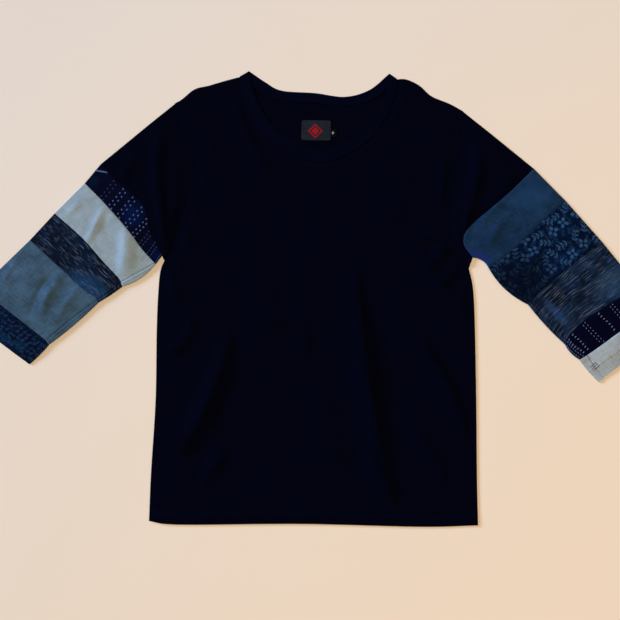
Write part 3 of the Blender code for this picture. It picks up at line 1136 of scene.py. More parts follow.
@dataclass
class ClothGrid:
    """A cloth's outer face: a grid of points, and where they lie on the flat cloth."""

    points: Points  # rows by columns by 3
    flat: Points  # rows by columns by 2
    u: Points  # share at each column
    v: Points  # share at each row
    turned: bool = False  # whether the outer face looks the other way

    @property
    def length(self) -> float:
        """The width of the flat cloth along its near seam."""
        return self.flat[0, -1, 0]

    @property
    def reach(self) -> float:
        """The way over the flat cloth from its near seam to its far one."""
        return self.flat[-1, 0, 1]

    def at(self, u: Any, v: Any) -> tuple[Points, Points, Points, Points]:
        """The surface at shares of its width and length, by bilinear interpolation.

        Args:
            u, v: the shares, as arrays of one length.

        Returns:
            The points, the directions of growing u and v, and the outward normals.
        """
        rows, columns = self.points.shape[:2]
        last = 1.001  # a little more than one step before the end, so that there is always a next point
        x = np.clip(np.interp(u, self.u, np.arange(columns)), 0, columns - last)
        y = np.clip(np.interp(v, self.v, np.arange(rows)), 0, rows - last)
        i, j = y.astype(int), x.astype(int)
        s, t = (x - j)[:, None], (y - i)[:, None]
        p = self.points
        low = p[i, j] * (1 - s) + p[i, j + 1] * s
        high = p[i + 1, j] * (1 - s) + p[i + 1, j + 1] * s
        along_u = unit((p[i, j + 1] - p[i, j]) * (1 - t) + (p[i + 1, j + 1] - p[i + 1, j]) * t)
        along_v = unit((p[i + 1, j] - p[i, j]) * (1 - s) + (p[i + 1, j + 1] - p[i, j + 1]) * s)
        normal = unit(np.cross(along_u, along_v)) * (-1 if self.turned else 1)
        return low * (1 - t) + high * t, along_u, along_v, normal


def unit(vectors: Points) -> Points:
    """Vectors scaled to a length of 1."""
    return vectors / np.maximum(np.linalg.norm(vectors, axis=-1, keepdims=True), 1e-9)


def place(points: Points) -> Points:
    """Across, up and height in millimetres to metres about the shirt's origin."""
    return (np.asarray(points, float) - (0, MIDDLE_UP, 0)) * MM


def quads_of(index: Points) -> Points:
    """The quads between neighbours of grids of point numbers.

    Args:
        index: the numbers, with rows and columns last.

    Returns:
        Four numbers a row.
    """
    low, high = index[..., :-1, :], index[..., 1:, :]
    return np.stack([low[..., :-1], low[..., 1:], high[..., 1:], high[..., :-1]], axis=-1).reshape(-1, 4)


def mesh_object(
    name: str, points: Points, quads: Points, flat: Points, finish: Finish, weld: float, slivers: bool
) -> Item:
    """Makes one object of quads.

    Args:
        name: the object's name.
        points: the corners, in millimetres.
        quads: four corners a row.
        flat: where each corner lies on the flat cloth, which becomes the UV map.
        finish: what it is made of.
        weld: the distance below which corners become one.
        slivers: whether faces that this leaves without an area stay.

    Returns:
        The object.
    """
    mesh = bpy.data.meshes.new(name)
    mesh.from_pydata(place(points).tolist(), [], quads.tolist())
    mesh.uv_layers.new(name="cloth").data.foreach_set("uv", (flat * MM)[quads.ravel()].ravel())
    shape = bmesh.new()
    shape.from_mesh(mesh)
    bmesh.ops.remove_doubles(shape, verts=shape.verts, dist=weld * MM)
    if not slivers:
        bmesh.ops.dissolve_degenerate(shape, dist=weld * MM, edges=shape.edges)
    shape.to_mesh(mesh)
    shape.free()
    mesh.shade_smooth()
    mesh.materials.append(finish.material())
    piece = bpy.data.objects.new(name, mesh)
    bpy.context.scene.collection.objects.link(piece)
    return piece


def cloth_object(name: str, grids: list[ClothGrid], finish: Finish) -> Item:
    """Makes one object of cloth grids, welded where grids or their ends meet.

    Args:
        name: the object's name.
        grids: the surfaces.
        finish: what it is made of.

    Returns:
        The object.
    """
    quads, count = [], 0
    for grid in grids:
        rows, columns = grid.points.shape[:2]
        quad = quads_of(count + np.arange(rows * columns).reshape(rows, columns))
        quads.append(quad[:, ::-1] if grid.turned else quad)
        count += rows * columns
    points = np.vstack([grid.points.reshape(-1, 3) for grid in grids])
    flat = np.vstack([grid.flat.reshape(-1, 2) for grid in grids])
    return mesh_object(name, points, np.vstack(quads), flat, finish, weld=0.01, slivers=True)


def thicken(piece: Item, thickness: float, outwards: bool) -> None:
    """Gives an open surface the cloth's thickness and rounds the edges that this cuts.

    Args:
        piece: the surface.
        thickness: the cloth's.
        outwards: whether it grows outwards from the surface.
    """
    cloth = piece.modifiers.new("cloth", "SOLIDIFY")
    cloth.thickness = thickness * MM
    cloth.offset = 1.0 if outwards else -1.0
    edges = piece.modifiers.new("cut_edges", "BEVEL")
    edges.width = 0.22 * MM
    edges.segments = 2
    edges.limit_method = "ANGLE"
    edges.angle_limit = math.radians(60)
    edges.harden_normals = True


def settle(piece: Item, slot: str, *nodes: str) -> Item:
    """Fixes a finished piece to the body and reports it.

    Args:
        piece: the piece.
        slot: the slot that it is painted from; not used.
        nodes: the nodes that it stands for.

    Returns:
        The piece.
    """
    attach(piece, BODY)
    if nodes:
        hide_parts(*nodes)
    log.info("%s: %d points", piece.name, len(piece.data.vertices))
    return piece


@dataclass
class Stitches:
    """Threads that show on a cloth: each a low ellipsoid with its long axis along the stitch."""

    name: str
    finish: Finish
    slot: str
    round_steps: int = 8
    end_steps: int = 5
    rows: list[tuple[Points, Points, Points, Points]] = field(default_factory=list)

    def add(self, at: Points, along: Points, normal: Points, size: Size) -> None:
        """Adds stitches.

        Args:
            at: their middles.
            along: their directions.
            normal: the cloth's outward normals.
            size: length, width and height of each.
        """
        self.rows.append((at, unit(along), unit(normal), np.tile(size, (len(at), 1))))

    def build(self) -> Item:
        """Makes all of them one mesh.

        Each point is middle + along a/2 cos p + side b/2 sin p cos q + normal c/2 sin p sin q.

        Returns:
            The piece.
        """
        at, along, normal, size = (np.vstack([row[k] for row in self.rows]) for k in range(4))
        side = np.cross(normal, along)
        p = np.linspace(0, np.pi, self.end_steps)[None, :, None, None]
        q = np.linspace(0, 2 * np.pi, self.round_steps + 1)[None, None, :, None]
        half = 0.5 * size[:, None, None, :]
        points = (
            at[:, None, None]
            + along[:, None, None] * half[..., :1] * np.cos(p)
            + side[:, None, None] * half[..., 1:2] * np.sin(p) * np.cos(q)
            + normal[:, None, None] * half[..., 2:] * np.sin(p) * np.sin(q)
        )
        flat = np.zeros(points.shape[:3] + (2,))
        flat[..., 0] = np.cos(p[..., 0]) * half[..., 0]
        flat[..., 1] = q[..., 0] / np.pi * half[..., 1]
        quads = quads_of(np.arange(flat[..., 0].size).reshape(flat.shape[:3]))[:, (0, 3, 2, 1)]
        points, flat = points.reshape(-1, 3), flat.reshape(-1, 2)
        piece = mesh_object(self.name, points, quads, flat, self.finish, weld=0.002, slivers=False)
        return settle(piece, self.slot)


@dataclass
class FrontPanel:
    """The front of the body, with its hem, its armhole and neck seams and the folds of a spread shirt."""

    pattern: BodyPattern
    cloth: float = 0.7
    floor: float = 0.85  # of the sheet's lower face, at its edges
    least: float = 0.8  # where it rests on the back cloth
    settling: float = 0.3  # how softly it comes to rest there
    lift: float = 1.1  # how far it rises inside its edges
    reach: float = 22.0  # the width over which it rises
    neck_reach: float = 14.0
    hem_depth: float = 17.0
    hem_rise: float = 0.4
    hem_puckers: Puckers = Puckers(0.16, 11.5, 1.5, 23)
    armhole_puckers: Puckers = Puckers(0.18, 10.5, 2, 31)
    pucker_reach: float = 9.0
    hem_lines: Pair = (12.0, 15.5)
    hem_groove: float = 0.22  # the depth of the groove along each of them
    hem_groove_reach: float = 0.9
    neck_allowance: Ridge = Ridge(0.35, 4.5, 2.6)
    neck_groove: Ridge = Ridge(0.15, 2.2, 0.8)
    armhole_allowance: Ridge = Ridge(0.45, 4.0, 2.4)
    loose: Waves = Waves(11, 34, 150, 0.7)
    folds: tuple[Fold, ...] = (
        Fold(Spot(64, 378), Spot(116, 20), 6, 7, 20, 9.0),
        Fold(Spot(86, 372), Spot(150, 70), 0, 10, 10, -1.8),
        Fold(Spot(62, 124), Spot(123, 28), 0, 9, 6, 4.6),
        Fold(Spot(156, 404), Spot(210, 322), 0, 9, 12, 3.9),
        Fold(Spot(124, 304), Spot(224, 122), -15, 8, 14, 5.6),
        Fold(Spot(142, 144), Spot(196, 58), 0, 9, 12, 4.2),
        Fold(Spot(-228, 244), Spot(-180, 316), 20, 10, 11, 3.9),
        Fold(Spot(-194, 96), Spot(-124, 266), 7, 13, 10, 4.8),
        Fold(Spot(-166, 52), Spot(-120, 118), 0, 9, 11, 3.6),
        Fold(Spot(-124, 302), Spot(-210, 88), -20, 12, 16, 4.5),
        Fold(Spot(-10, 292), Spot(-12, 232), 0, 9, 9, 2.4),
        Fold(Spot(-122, 640), Spot(-54, 505), 8, 8, 12, 3.6),
        Fold(Spot(196, 462), Spot(206, 552), 0, 9, 11, 3.6),
        Fold(Spot(-212, 436), Spot(-158, 386), 0, 9, 11, 4.2),
        Fold(Spot(214, 424), Spot(168, 372), 0, 11, 9, 3.9),
        Fold(Spot(-208, 452), Spot(-150, 430), 4, 6, 7, 2.1),
        Fold(Spot(-218, 404), Spot(-176, 350), 3, 6, 7, 2.4),
        Fold(Spot(-222, 372), Spot(-196, 318), 0, 6, 7, 1.8),
        Fold(Spot(204, 440), Spot(150, 412), -4, 6, 7, 2.1),
        Fold(Spot(226, 396), Spot(186, 340), -3, 6, 7, 2.4),
        Fold(Spot(234, 362), Spot(214, 306), 0, 6, 7, 1.8),
        Fold(Spot(20, 470), Spot(-6, 330), 6, 26, 30, 1.8),
        Fold(Spot(-90, 430), Spot(-60, 150), -8, 28, 34, 2.0),
        Fold(Spot(150, 560), Spot(112, 430), -6, 14, 18, 1.8),
        Fold(Spot(-160, 600), Spot(-130, 470), 5, 12, 16, 2.0),
        Fold(Spot(10, 215), Spot(44, 40), 6, 20, 26, 2.0),
    )
    columns: tuple[int, int, int] = (11, 18, 11)  # the source's division: left of the neck, under it, right
    seam_rows: int = 15
    armhole_rows: int = 14
    shoulder_rows: int = 3
    yoke_up: float = 590
    divide: int = 5  # each row of the armhole again
    side_shares: tuple[float, int, int] = (0.1, 12, 34)  # denser beside the armhole
    seam_shares: tuple[float, int, int] = (0.065, 21, 104)  # denser at the hem
    hem_stitch: Size = (2.7, 0.6, 0.5)
    hem_pitch: float = 3.4
    hem_run: tuple[float, float, int] = (0.006, 0.994, 300)  # shares of the line, and points
    neck_stitch: Size = (2.4, 0.55, 0.45)
    neck_pitch: float = 3.0
    neck_run: tuple[float, float, int] = (0.02, 0.98, 400)
    neck_lines: Pair = (2.2, 6.4)

    def height(self, across: Points, up: Points) -> Points:
        """The height of the sheet's lower face.

        It is the floor that it lies on, plus lift, folds and waves faded out towards the edges, plus the
        hem's double cloth, less a groove along each seam and beside it the ridge of the seam's allowance.
        A rounded larger-of-two keeps it above the back cloth.

        Args:
            across, up: where the height is asked for.

        Returns:
            The height at each place.
        """
        pattern = self.pattern
        seam = distance_to(pattern.band_seam(), across, up)
        inside = pattern.inside(across, up, self.reach) * ease(seam / self.neck_reach)
        rise = (self.lift + folds_at(across, up, self.folds) + self.loose.over(across, up)) * inside
        hem = self.hem_rise * (1 - ease((up - self.hem_depth) / 1.6 + 0.5))
        puckers = self.hem_puckers.along(across) * bell(up - 14.0, self.pucker_reach)
        stitched = sum(bell(up - line, self.hem_groove_reach) for line in self.hem_lines)
        height = self.floor + rise + hem + puckers - self.hem_groove * stitched
        height += self.neck_allowance.over(seam) - self.neck_groove.over(seam)
        for side in Side:
            gap = distance_to(pattern.armhole(side, np.linspace(0, 1, 200)), across, up)
            above = ease((up - pattern.armpit_up(side)) / 16.0)
            tucks = self.armhole_puckers.along(up) * bell(gap, self.pucker_reach)
            height += above * (self.armhole_allowance.over(gap) + tucks * ease(gap / 2))
        return 0.5 * (height + self.least + np.sqrt((height - self.least) ** 2 + self.settling**2))

    def plans(self) -> list[tuple[Points, Points, Points]]:
        """The panel in plan as three patches: up to the yoke line, and the two shoulders beside the neck.

        Returns:
            Each patch's points and its shares along both ways.
        """
        pattern, whole = self.pattern, sum(self.columns)
        rows = self.seam_rows + self.armhole_rows - self.shoulder_rows
        scoop = offset(pattern.band_seam(), 0.5)
        under = np.flatnonzero(scoop[:, 1] < self.yoke_up)
        first, last = under[0] - 1, under[-1] + 1
        bottom = scoop[first : last + 1]
        lefts = denser(*self.side_shares)
        unders = np.linspace(0, 1, 66)
        rights = 1 - lefts[::-1]
        arm = np.linspace(0, 1, self.divide * self.armhole_rows + 1)
        yoke_at = self.divide * (self.armhole_rows - self.shoulder_rows)
        seams = denser(*self.seam_shares)
        left_edge, right_edge = (pattern.panel_edge(side, seams, arm) for side in Side)
        cut = len(seams) + yoke_at
        left_yoke = resample(np.array([left_edge[cut - 1], bottom[0]]), lefts)
        right_yoke = resample(np.array([bottom[-1], right_edge[cut - 1]]), rights)
        yoke = np.vstack([left_yoke, resample(bottom, unders)[1:-1], right_yoke])
        starts = np.cumsum((0,) + self.columns)
        u = np.concatenate([
            starts[0] + lefts * self.columns[0],
            (starts[1] + unders * self.columns[1])[1:-1],
            starts[2] + rights * self.columns[2],
        ]) / whole
        above = self.seam_rows + arm[1 : yoke_at + 1] * self.armhole_rows
        v = np.concatenate([seams * self.seam_rows, above]) / rows
        body = coons(resample(curve(pattern.hem), u), yoke, left_edge[:cut], right_edge[:cut], u, v)
        w = (arm[yoke_at:] - arm[yoke_at]) / (1 - arm[yoke_at])
        left_neck, right_neck = resample(scoop[first::-1], w), resample(scoop[last:], w)
        shoulders = (
            (left_yoke, pattern.left_shoulder, left_edge[cut - 1 :], left_neck, lefts),
            (right_yoke, pattern.right_shoulder, right_neck, right_edge[cut - 1 :], rights),
        )
        return [(body, u, v)] + [
            (coons(low, resample(curve(high), shares), left, right, shares, w), shares, w)
            for low, high, left, right, shares in shoulders
        ]

    def build(self) -> Item:
        """Makes the panel's cloth.

        Returns:
            The piece.
        """
        grids = [
            ClothGrid(np.dstack([plan, self.height(plan[..., 0], plan[..., 1])]), plan, u, v)
            for plan, u, v in self.plans()
        ]
        piece = cloth_object("front_cloth", grids, JERSEY)
        thicken(piece, self.cloth, outwards=True)
        settle(piece, "navy_jersey", "front_panel")
        return piece

    def surface(self, line: Points) -> tuple[Points, Points, Points]:
        """The cloth's upper face along a line.

        Args:
            line: the line, in plan.

        Returns:
            Its points, its directions and the face's normals, which come from differences of height.
        """
        step = 1.0
        x, y = line[:, 0], line[:, 1]
        here = self.height(x, y) + self.cloth
        slope_x = (self.height(x + step, y) + self.cloth - here) / step
        slope_y = (self.height(x, y + step) + self.cloth - here) / step
        points = np.column_stack([x, y, here])
        return points, np.gradient(points, axis=0), np.column_stack([-slope_x, -slope_y, np.ones_like(x)])

    def sew(self, stitches: Stitches, line: Points, pitch: float, size: Size) -> None:
        """Adds a line of stitches.

        Args:
            stitches: what they are added to.
            line: the line, in plan.
            pitch: from stitch to stitch.
            size: the size of each.
        """
        count = round(length_of(line) / pitch)
        at, along, normal = self.surface(resample(line, (np.arange(count) + 0.5) / count))
        stitches.add(at, along, normal, size)

    def stitching(self) -> Item:
        """Sews the two lines of the hem and the two beside the neckband.

        Returns:
            The piece.
        """
        stitches = Stitches("front_stitching", NAVY_THREAD, "navy_jersey")
        hem, band = curve(self.pattern.hem), self.pattern.band_seam()
        for up in self.hem_lines:
            line = resample(hem + (0, up), np.linspace(*self.hem_run))
            self.sew(stitches, line, self.hem_pitch, self.hem_stitch)
        for aside in self.neck_lines:
            line = resample(offset(band, -aside), np.linspace(*self.neck_run))
            self.sew(stitches, line, self.neck_pitch, self.neck_stitch)
        return stitches.build()


@dataclass
class BackPanel:
    """The back of the body, which lies on the floor and shows inside the neck."""

    pattern: BodyPattern
    cloth: float = 0.75
    columns: tuple[int, int, int] = (5, 10, 5)  # the source's own division
    seam_rows: int = 6
    armhole_rows: int = 14
    divide: int = 4  # each of those again
    ripple: float = 0.7
    ripples: Waves = Waves(5, 28, 90, 0.8)
    tuck: float = 2.0  # how far it reaches under the neckband
    label_at: Spot = Spot(10.0, 590.0)
    label_reach: Pair = (40.0, 30.0)  # of the oval that stays flat under the label
    opening_reach: float = 108.0  # half the width of the opening that shows the back cloth

    def build(self) -> Item:
        """Makes the sheet: one patch, level but for soft ripples below the neck that leave the label flat.

        Returns:
            The piece.
        """
        pattern, step = self.pattern, self.divide
        sides = [np.linspace(0, 1, count * step + 1) for count in self.columns]
        seam = pattern.back_seam
        tuck = self.tuck * np.minimum(1, np.sin(np.linspace(0, np.pi, len(seam))) * 4.0)
        top = np.vstack([
            resample(curve(pattern.left_shoulder), sides[0])[:-1],
            resample(offset(seam, tuck), sides[1]),
            resample(curve(pattern.right_shoulder), sides[2])[1:],
        ])
        u = np.linspace(0, 1, len(top))
        seams = np.linspace(0, 1, self.seam_rows * 3 * step + 1)
        arm = np.linspace(0, 1, self.armhole_rows * step + 1)
        v = np.concatenate([seams * self.seam_rows, self.seam_rows + arm[1:] * self.armhole_rows])
        v /= v[-1]
        edges = [pattern.panel_edge(side, seams, arm) for side in Side]
        plan = coons(resample(curve(pattern.hem), u), top, edges[0], edges[1], u, v)
        across, up = plan[..., 0], plan[..., 1]
        wide, high = self.label_reach
        label = np.hypot((across - self.label_at.across) / wide, (up - self.label_at.up) / high)
        middle = np.mean(pattern.neck_tips, axis=0)
        opening = np.hypot((across - middle[0]) / self.opening_reach, (up - middle[1]) / pattern.neck_depth)
        shown = ease((1 - opening) / 0.3) * ease((label - 1) / 0.5)
        height = self.ripple * shown * (1 + self.ripples.over(across, up))
        grid = ClothGrid(np.dstack([plan, np.maximum(height, 0)]), plan, u, v)
        piece = cloth_object("back_cloth", [grid], JERSEY)
        thicken(piece, self.cloth, outwards=True)
        settle(piece, "navy_jersey", "back_panel")
        return piece


@dataclass
class Neckband:
    """The ribbed band: a ring of doubled cloth round the neck that turns over at the two shoulder tips."""

    pattern: BodyPattern
    width: float = 17.0
    half: float = 0.72  # half of its thickness
    seam_height: float = 2.2  # of its middle, over the front seam
    free_height: float = 2.9  # of its middle, at the front's free edge
    back_height: float = 0.8
    back_seam_height: float = 1.6  # where it lies on the back cloth's edge
    turn: float = 2.2  # the radius of its fold at the tips
    edge_power: float = 5.0
    sways: int = 13  # gentle rises of its free edge round the ring
    steps: Triple = (3.0, 0.35, 3.5)  # between stations, at the tips, and their reach
    half_round: int = 20  # steps round one face of the band

    def ring(self) -> tuple[Points, Points, Points, Points]:
        """The band's two edges in plan, front then back, closed.

        Returns:
            The free edge and the seam edge, the rise at each station, which is 1 on the front and 0 on the
            back, rounded at the tips as a quarter circle is, and the measure along the ring.
        """
        pattern = self.pattern
        angles = np.linspace(0, np.pi, 721)
        free_front = pattern.scoop(pattern.neck_tips, pattern.neck_depth, angles)
        seam_front = pattern.scoop(pattern.band_tips, pattern.band_depth, angles)
        back = curve((pattern.neck_tips[0],) + pattern.back_neck + (pattern.neck_tips[1],))[::-1]
        length, back_length = length_of(free_front), length_of(back)
        front_at, back_at = graded(length, *self.steps), graded(back_length, *self.steps)
        free = np.vstack([resample(free_front, front_at), resample(back, back_at)[1:]])
        seam_back = resample(back, back_at, pattern.back_seam[::-1])
        seam = np.vstack([resample(free_front, front_at, seam_front), seam_back[1:]])
        from_tip = np.concatenate([
            np.minimum(front_at, 1 - front_at) * length,
            np.minimum(back_at, 1 - back_at)[1:] * back_length,
        ])
        sign = np.concatenate([np.ones(len(front_at)), -np.ones(len(back_at) - 1)])
        rise = 0.5 + 0.5 * sign * half_round(from_tip, self.turn) / self.turn
        measure = np.concatenate([front_at * length, length + back_at[1:] * back_length])
        return free, seam, rise, measure

    def build(self) -> Item:
        """Makes the band: its middle surface, with a flat superellipse carried along it as its thickness.

        Returns:
            The piece.
        """
        free, seam, rise, measure = self.ring()
        turn = np.linspace(0, 2 * np.pi, 2 * self.half_round + 1)
        swing, thick = oval(turn, self.edge_power)
        across, thick = 0.5 * (1 - swing), self.half * thick
        share = across[None, :, None]
        plan = free[:, None] * (1 - share) + seam[:, None] * share
        front = self.free_height + (self.seam_height - self.free_height) * ease(across * 1.15)[None]
        back = self.back_height + (self.back_seam_height - self.back_height) * ease(across * 1.6 - 0.5)[None]
        middle = back + (front - back) * rise[:, None]
        sway = np.sin(measure / measure[-1] * 2 * np.pi * self.sways)[:, None]
        surface = np.dstack([plan, middle + 0.12 * sway * rise[:, None] * (1 - across[None])])
        free_edge, seam_edge = surface[:, 0], surface[:, self.half_round]
        edges = (free_edge + seam_edge)[:-1]
        along = unit(np.roll(edges, -1, axis=0) - np.roll(edges, 1, axis=0))
        along = np.vstack([along, along[:1]])
        normal = unit(np.cross(along, unit(seam_edge - free_edge)))
        points = surface + normal[:, None] * thick[None, :, None]
        place_across = across[None] * self.width + (thick > 0)[None] * 20.0
        flat = np.dstack(np.broadcast_arrays(measure[:, None], place_across))
        grid = ClothGrid(points, flat, turn / turn[-1], measure / measure[-1], turned=True)
        piece = cloth_object("neck_rib", [grid], RIB)
        settle(piece, "navy_rib", "neckband")
        measure[-1] * MM
        return piece


@dataclass
class NeckLabel:
    """The woven label inside the back neck and the small tab that is tucked under its edge."""

    size: Pair = (45.0, 32.0)
    at: Spot = Spot(5.5, 588.8)
    turn: float = -1.0  # degrees
    thick: float = 0.7
    lies_on: float = 1.3
    curl: float = 0.5  # how far its corners stand up
    power: float = 14  # how square its outline is
    tab: Pair = (10.5, 13.0)
    tab_drop: float = 3.5
    tab_tuck: float = 1.5  # how far it reaches under the label's end
    tab_under: float = 0.35  # how much lower it lies
    flat_steps: int = 10  # from the middle to the rim
    rim_steps: int = 8  # round the rim
    rim: float = 0.04  # its share of the way from the middle
    points_round: int = 97
    stitch_inset: Pair = (1.8, 1.6)
    stitch_count: int = 11
    stitch: Size = (2.0, 0.5, 0.35)

    def patch(self, size: Pair, at: Spot, floor: float, curl: float, power: float) -> ClothGrid:
        """A cushioned sheet: a ring profile swept from the edge to the middle of a superellipse, both faces.

        Args:
            size: its length and width.
            at: its middle.
            floor: the height of its lower face.
            curl: how far its corners stand up.
            power: how square its outline is.

        Returns:
            The closed surface.
        """
        bend = np.linspace(0, np.pi / 2, self.rim_steps)[1:]
        level = np.concatenate([np.ones(self.flat_steps), np.cos(bend)])
        inset = np.linspace(0, 1 - self.rim, self.flat_steps)
        inset = np.concatenate([inset, 1 - self.rim + self.rim * np.sin(bend)])
        inset = np.concatenate([inset, inset[-2::-1]])
        level = 0.5 * self.thick * np.concatenate([level, -level[-2::-1]])
        angle = np.linspace(0, 2 * np.pi, self.points_round)
        x, y = oval(angle, power)
        half_x, half_y = 0.5 * size[0], 0.5 * size[1]
        plan_x, plan_y = half_x * inset[:, None] * x, half_y * inset[:, None] * y
        c, s = math.cos(math.radians(self.turn)), math.sin(math.radians(self.turn))
        lift = curl * (np.abs(plan_x) / half_x * np.abs(plan_y) / half_y) ** 3
        height = floor + 0.5 * self.thick + level[:, None] + lift
        points = np.dstack([at.across + plan_x * c - plan_y * s, at.up + plan_x * s + plan_y * c, height])
        shares = np.linspace(0, 1, len(inset))
        return ClothGrid(points, np.dstack([plan_x, plan_y]), angle / angle[-1], shares, turned=True)

    def build(self) -> list[Item]:
        """Makes the label, its tab and the stitches that hold the label's ends.

        Returns:
            The pieces.
        """
        patch = self.patch(self.size, self.at, self.lies_on, self.curl, self.power)
        label = cloth_object("woven_label", [patch], LABEL_WEAVE)
        settle(label, "label_weave", "neck_label")
        tab_across = self.at.across + 0.5 * (self.size[0] + self.tab[0]) - self.tab_tuck
        tab_at = Spot(tab_across, self.at.up - self.tab_drop)
        patch = self.patch(self.tab, tab_at, self.lies_on - self.tab_under, 0.3, 9)
        tab = cloth_object("woven_tab", [patch], TAB_WEAVE)
        settle(tab, "tab_weave", "size_tab")
        return [label, tab, self.stitching()]

    def stitching(self) -> Item:
        """Sews a row of small stitches just inside each end of the label.

        Returns:
            The piece.
        """
        stitches = Stitches("label_stitching", NAVY_THREAD, "label_weave")
        half_x, half_y = (0.5 * size - inset for size, inset in zip(self.size, self.stitch_inset))
        count = self.stitch_count
        up = self.at.up + np.linspace(-half_y, half_y, count)
        top = np.full(count, self.lies_on + self.thick + 0.05)
        along, normal = (np.tile(way, (count, 1)) for way in ((0.0, 1.0, 0.0), (0.0, 0.0, 1.0)))
        for side in (-1, 1):
            at = np.column_stack([np.full(count, self.at.across + side * half_x), up, top])
            stitches.add(at, along, normal, self.stitch)
        return stitches.build()


@dataclass(frozen=True)
class Strip:
    """One cloth of a sleeve.

    near and far name the seams that it lies between. sag is how far its underarm fold hangs out, and under
    how far the underarm seam lies from that fold at its near end, its middle and its far end.
    """

    node: str
    piece: str
    near: str
    far: str
    sag: float
    under: Triple
    finish: Finish
    slot: str


